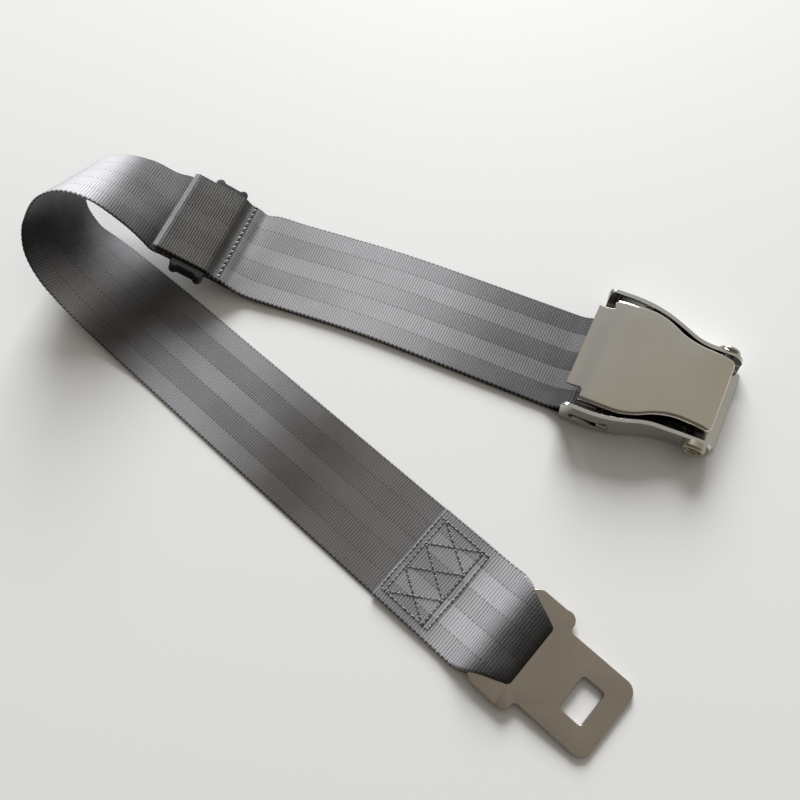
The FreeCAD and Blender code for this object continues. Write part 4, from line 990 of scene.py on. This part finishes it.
@dataclass
class Studio:
    """Pale table, soft window light from the far side and the camera of the photograph."""

    camera_at: tuple[float, float, float] = (-8.16, -157.87, 340.10)
    tilt: float = 22.6
    roll: float = 16.3
    strap_heading: float = -40.85

    def camera(self) -> None:
        """Set the camera: leaning back from straight down, rolled, 53 degrees wide."""
        t, r, h = np.radians([self.tilt, self.roll, self.strap_heading])
        forward = np.array([0, np.sin(t), -np.cos(t)])
        right, up = np.array([1.0, 0, 0]), np.array([0, np.cos(t), np.sin(t)])
        rows = np.stack([np.cos(r) * right - np.sin(r) * up, np.sin(r) * right + np.cos(r) * up, -forward])
        turn = np.array([[np.cos(h), np.sin(h), 0], [-np.sin(h), np.cos(h), 0], [0, 0, 1]])
        world = Matrix.Identity(4)
        world.col[0][:3], world.col[1][:3], world.col[2][:3] = [Vector(turn @ row) for row in rows]
        world.translation = Vector(self.camera_at) * MM
        data = bpy.data.cameras.new("camera")
        data.lens, data.sensor_width = 36.0, 36.0
        data.clip_start, data.clip_end = 0.01, 20.0
        eye = bpy.data.objects.new("camera", data)
        eye.matrix_world = world
        bpy.context.scene.collection.objects.link(eye)
        bpy.context.scene.camera = eye

    def table(self) -> None:
        """Lay the table top: pale lacquer with a soft gloss."""
        half = 1500.0
        corners = np.array([(-1, -1, 0), (1, -1, 0), (1, 1, 0), (-1, 1, 0)]) * half
        top = solid("table", corners, [(0, 1, 2, 3)])
        made, tree, shader = new_material("pale_lacquer")
        feed(tree, shader, {"Base Color": linear("e9e8e5"), "Roughness": 0.6, "Specular IOR Level": 0.25})
        top.data.materials.append(made)

    def lamp(self, name: str, at: tuple[float, float, float], aim: tuple[float, float, float], size: float,
             power: float, colour: str) -> None:
        """Hang a square area lamp.

        Args:
            name: name of the lamp.
            at: place in metres.
            aim: point that it faces, in metres.
            size: side in metres.
            power: watts.
            colour: sRGB hex.
        """
        data = bpy.data.lights.new(name, "AREA")
        data.size, data.energy, data.color = size, power, linear(colour)[:3]
        lamp = bpy.data.objects.new(name, data)
        lamp.location = at
        lamp.rotation_euler = (Vector(aim) - Vector(at)).to_track_quat("-Z", "Y").to_euler()
        bpy.context.scene.collection.objects.link(lamp)

    def light(self) -> None:
        """Light the table: a low window beyond it and a dim room, lighter overhead and towards the window."""
        self.lamp("window", (-1.14, 2.6, 1.5), (-0.12, -0.05, 0.0), 1.65, 150.0, "fafcff")
        world = bpy.data.worlds.new("room")
        world.use_nodes = True
        tree = world.node_tree
        heading = add(tree, "ShaderNodeTexCoord").outputs["Generated"]
        colour = "67625c"
        for aim, narrow, wide, shade in (
                ((0.2, 0.42, 0.885), 0.97, 0.6, "b9b6ae"), ((0.83, 0.37, 0.42), 0.95, 0.7, "bab7ae"),
                ((-0.35, 0.92, 0.15), 0.95, 0.35, "c9ced6")):
            side = add(tree, "ShaderNodeVectorMath", {0: heading, 1: aim}, operation="DOT_PRODUCT")
            share = ranged(tree, side.outputs["Value"], (wide, narrow), (0.0, 1.0),
                           interpolation_type="SMOOTHSTEP")
            colour = mixed(tree, share, colour, shade)
        # The camera sees a plain pale backdrop beyond the table
        by_camera = add(tree, "ShaderNodeLightPath").outputs["Is Camera Ray"]
        seen = mixed(tree, by_camera, colour, "e6e6e4")
        feed(tree, tree.nodes["Background"], {"Color": seen, "Strength": 1.0})
        bpy.context.scene.world = world
        bpy.context.scene.view_settings.view_transform = "Standard"


def dress_buckle() -> None:
    """Dress the rigid nodes of the buckle, the keeper and the tongue."""
    pieces = [
        PolishedCopy("buckle_frame", Body.FRAME, "polished_steel",
                     PolishedMetal("plated_steel", "c9c8c4", 0.1)),
        PolishedCopy("pivot_pin", Body.FRAME, "polished_steel",
                     PolishedMetal("plated_pin", "bdbab2", 0.16)),
        PolishedCopy("pivot_collar", Body.FRAME, "pin_collar",
                     SatinMetal("yellow_passivated_steel", "aba694", 0.28)),
        PolishedCopy("pivot_spacers", Body.FRAME, "spacer_plastic",
                     MouldedPlastic("black_acetal", "17171a", 0.4)),
        PolishedCopy("lift_cover", Body.COVER, "cover_steel",
                     PolishedMetal("buffed_stainless", "c8c2b6", 0.08)),
        PolishedCopy("latch_plate", Body.LATCH, "latch_steel",
                     SatinMetal("tumbled_steel", "9c9a96", 0.35)),
        PolishedCopy("latch_spring", Body.LATCH, "spring_wire",
                     SatinMetal("music_wire", "8d8c8a", 0.25)),
        PolishedCopy("adjuster_bar", Body.STRAP, "latch_steel",
                     SatinMetal("tumbled_bar_steel", "a5a39f", 0.3)),
        PolishedCopy("web_keeper", Body.KEEPER, "keeper_plastic",
                     MouldedPlastic("black_nylon", "141416", 0.25)),
        PolishedCopy("tongue_plate", Body.TONGUE, "tongue_steel",
                     SatinMetal("satin_plated_steel", "a69c92", 0.24),
                     slot_draw=2.3),
    ]
    for piece in pieces:
        piece.build()


def dress_webbing() -> None:
    """Make the webbing and its sewing."""
    strip = Webbing()
    cloth = strip.build()
    cloth.data.materials.append(WovenPolyester().material())
    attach(cloth, Body.STRAP.value)
    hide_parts("webbing")
    sewing = Stitches(strip.hem, strip.leg)
    box, hole_shade = sewing.box()
    pale, dark = sewing.row()
    box.data.materials.append(SewingThread("grey_bonded_thread", "8e8a86").material())
    pale.data.materials.append(SewingThread("pale_bonded_thread", "d4d0ca").material())
    # Painted shade: the dark sunk pieces in the needle holes of the box and the hem row stand for the shade
    # there
    hole_shade_finish = SewingThread("painted_hole_shade", "17171a").material()
    for piece in (hole_shade, dark):
        piece.data.materials.append(hole_shade_finish)
    for piece in (box, hole_shade, pale, dark):
        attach(piece, Body.STRAP.value)
        LOG.info("%s: %d faces", piece.name, len(piece.data.polygons))


def main() -> None:
    """Build the stage and the object."""
    logging.basicConfig(level=logging.INFO, format="%(message)s")
    studio = Studio()
    studio.camera()
    studio.table()
    studio.light()
    dress_buckle()
    dress_webbing()


if __name__ == "__main__":
    main()
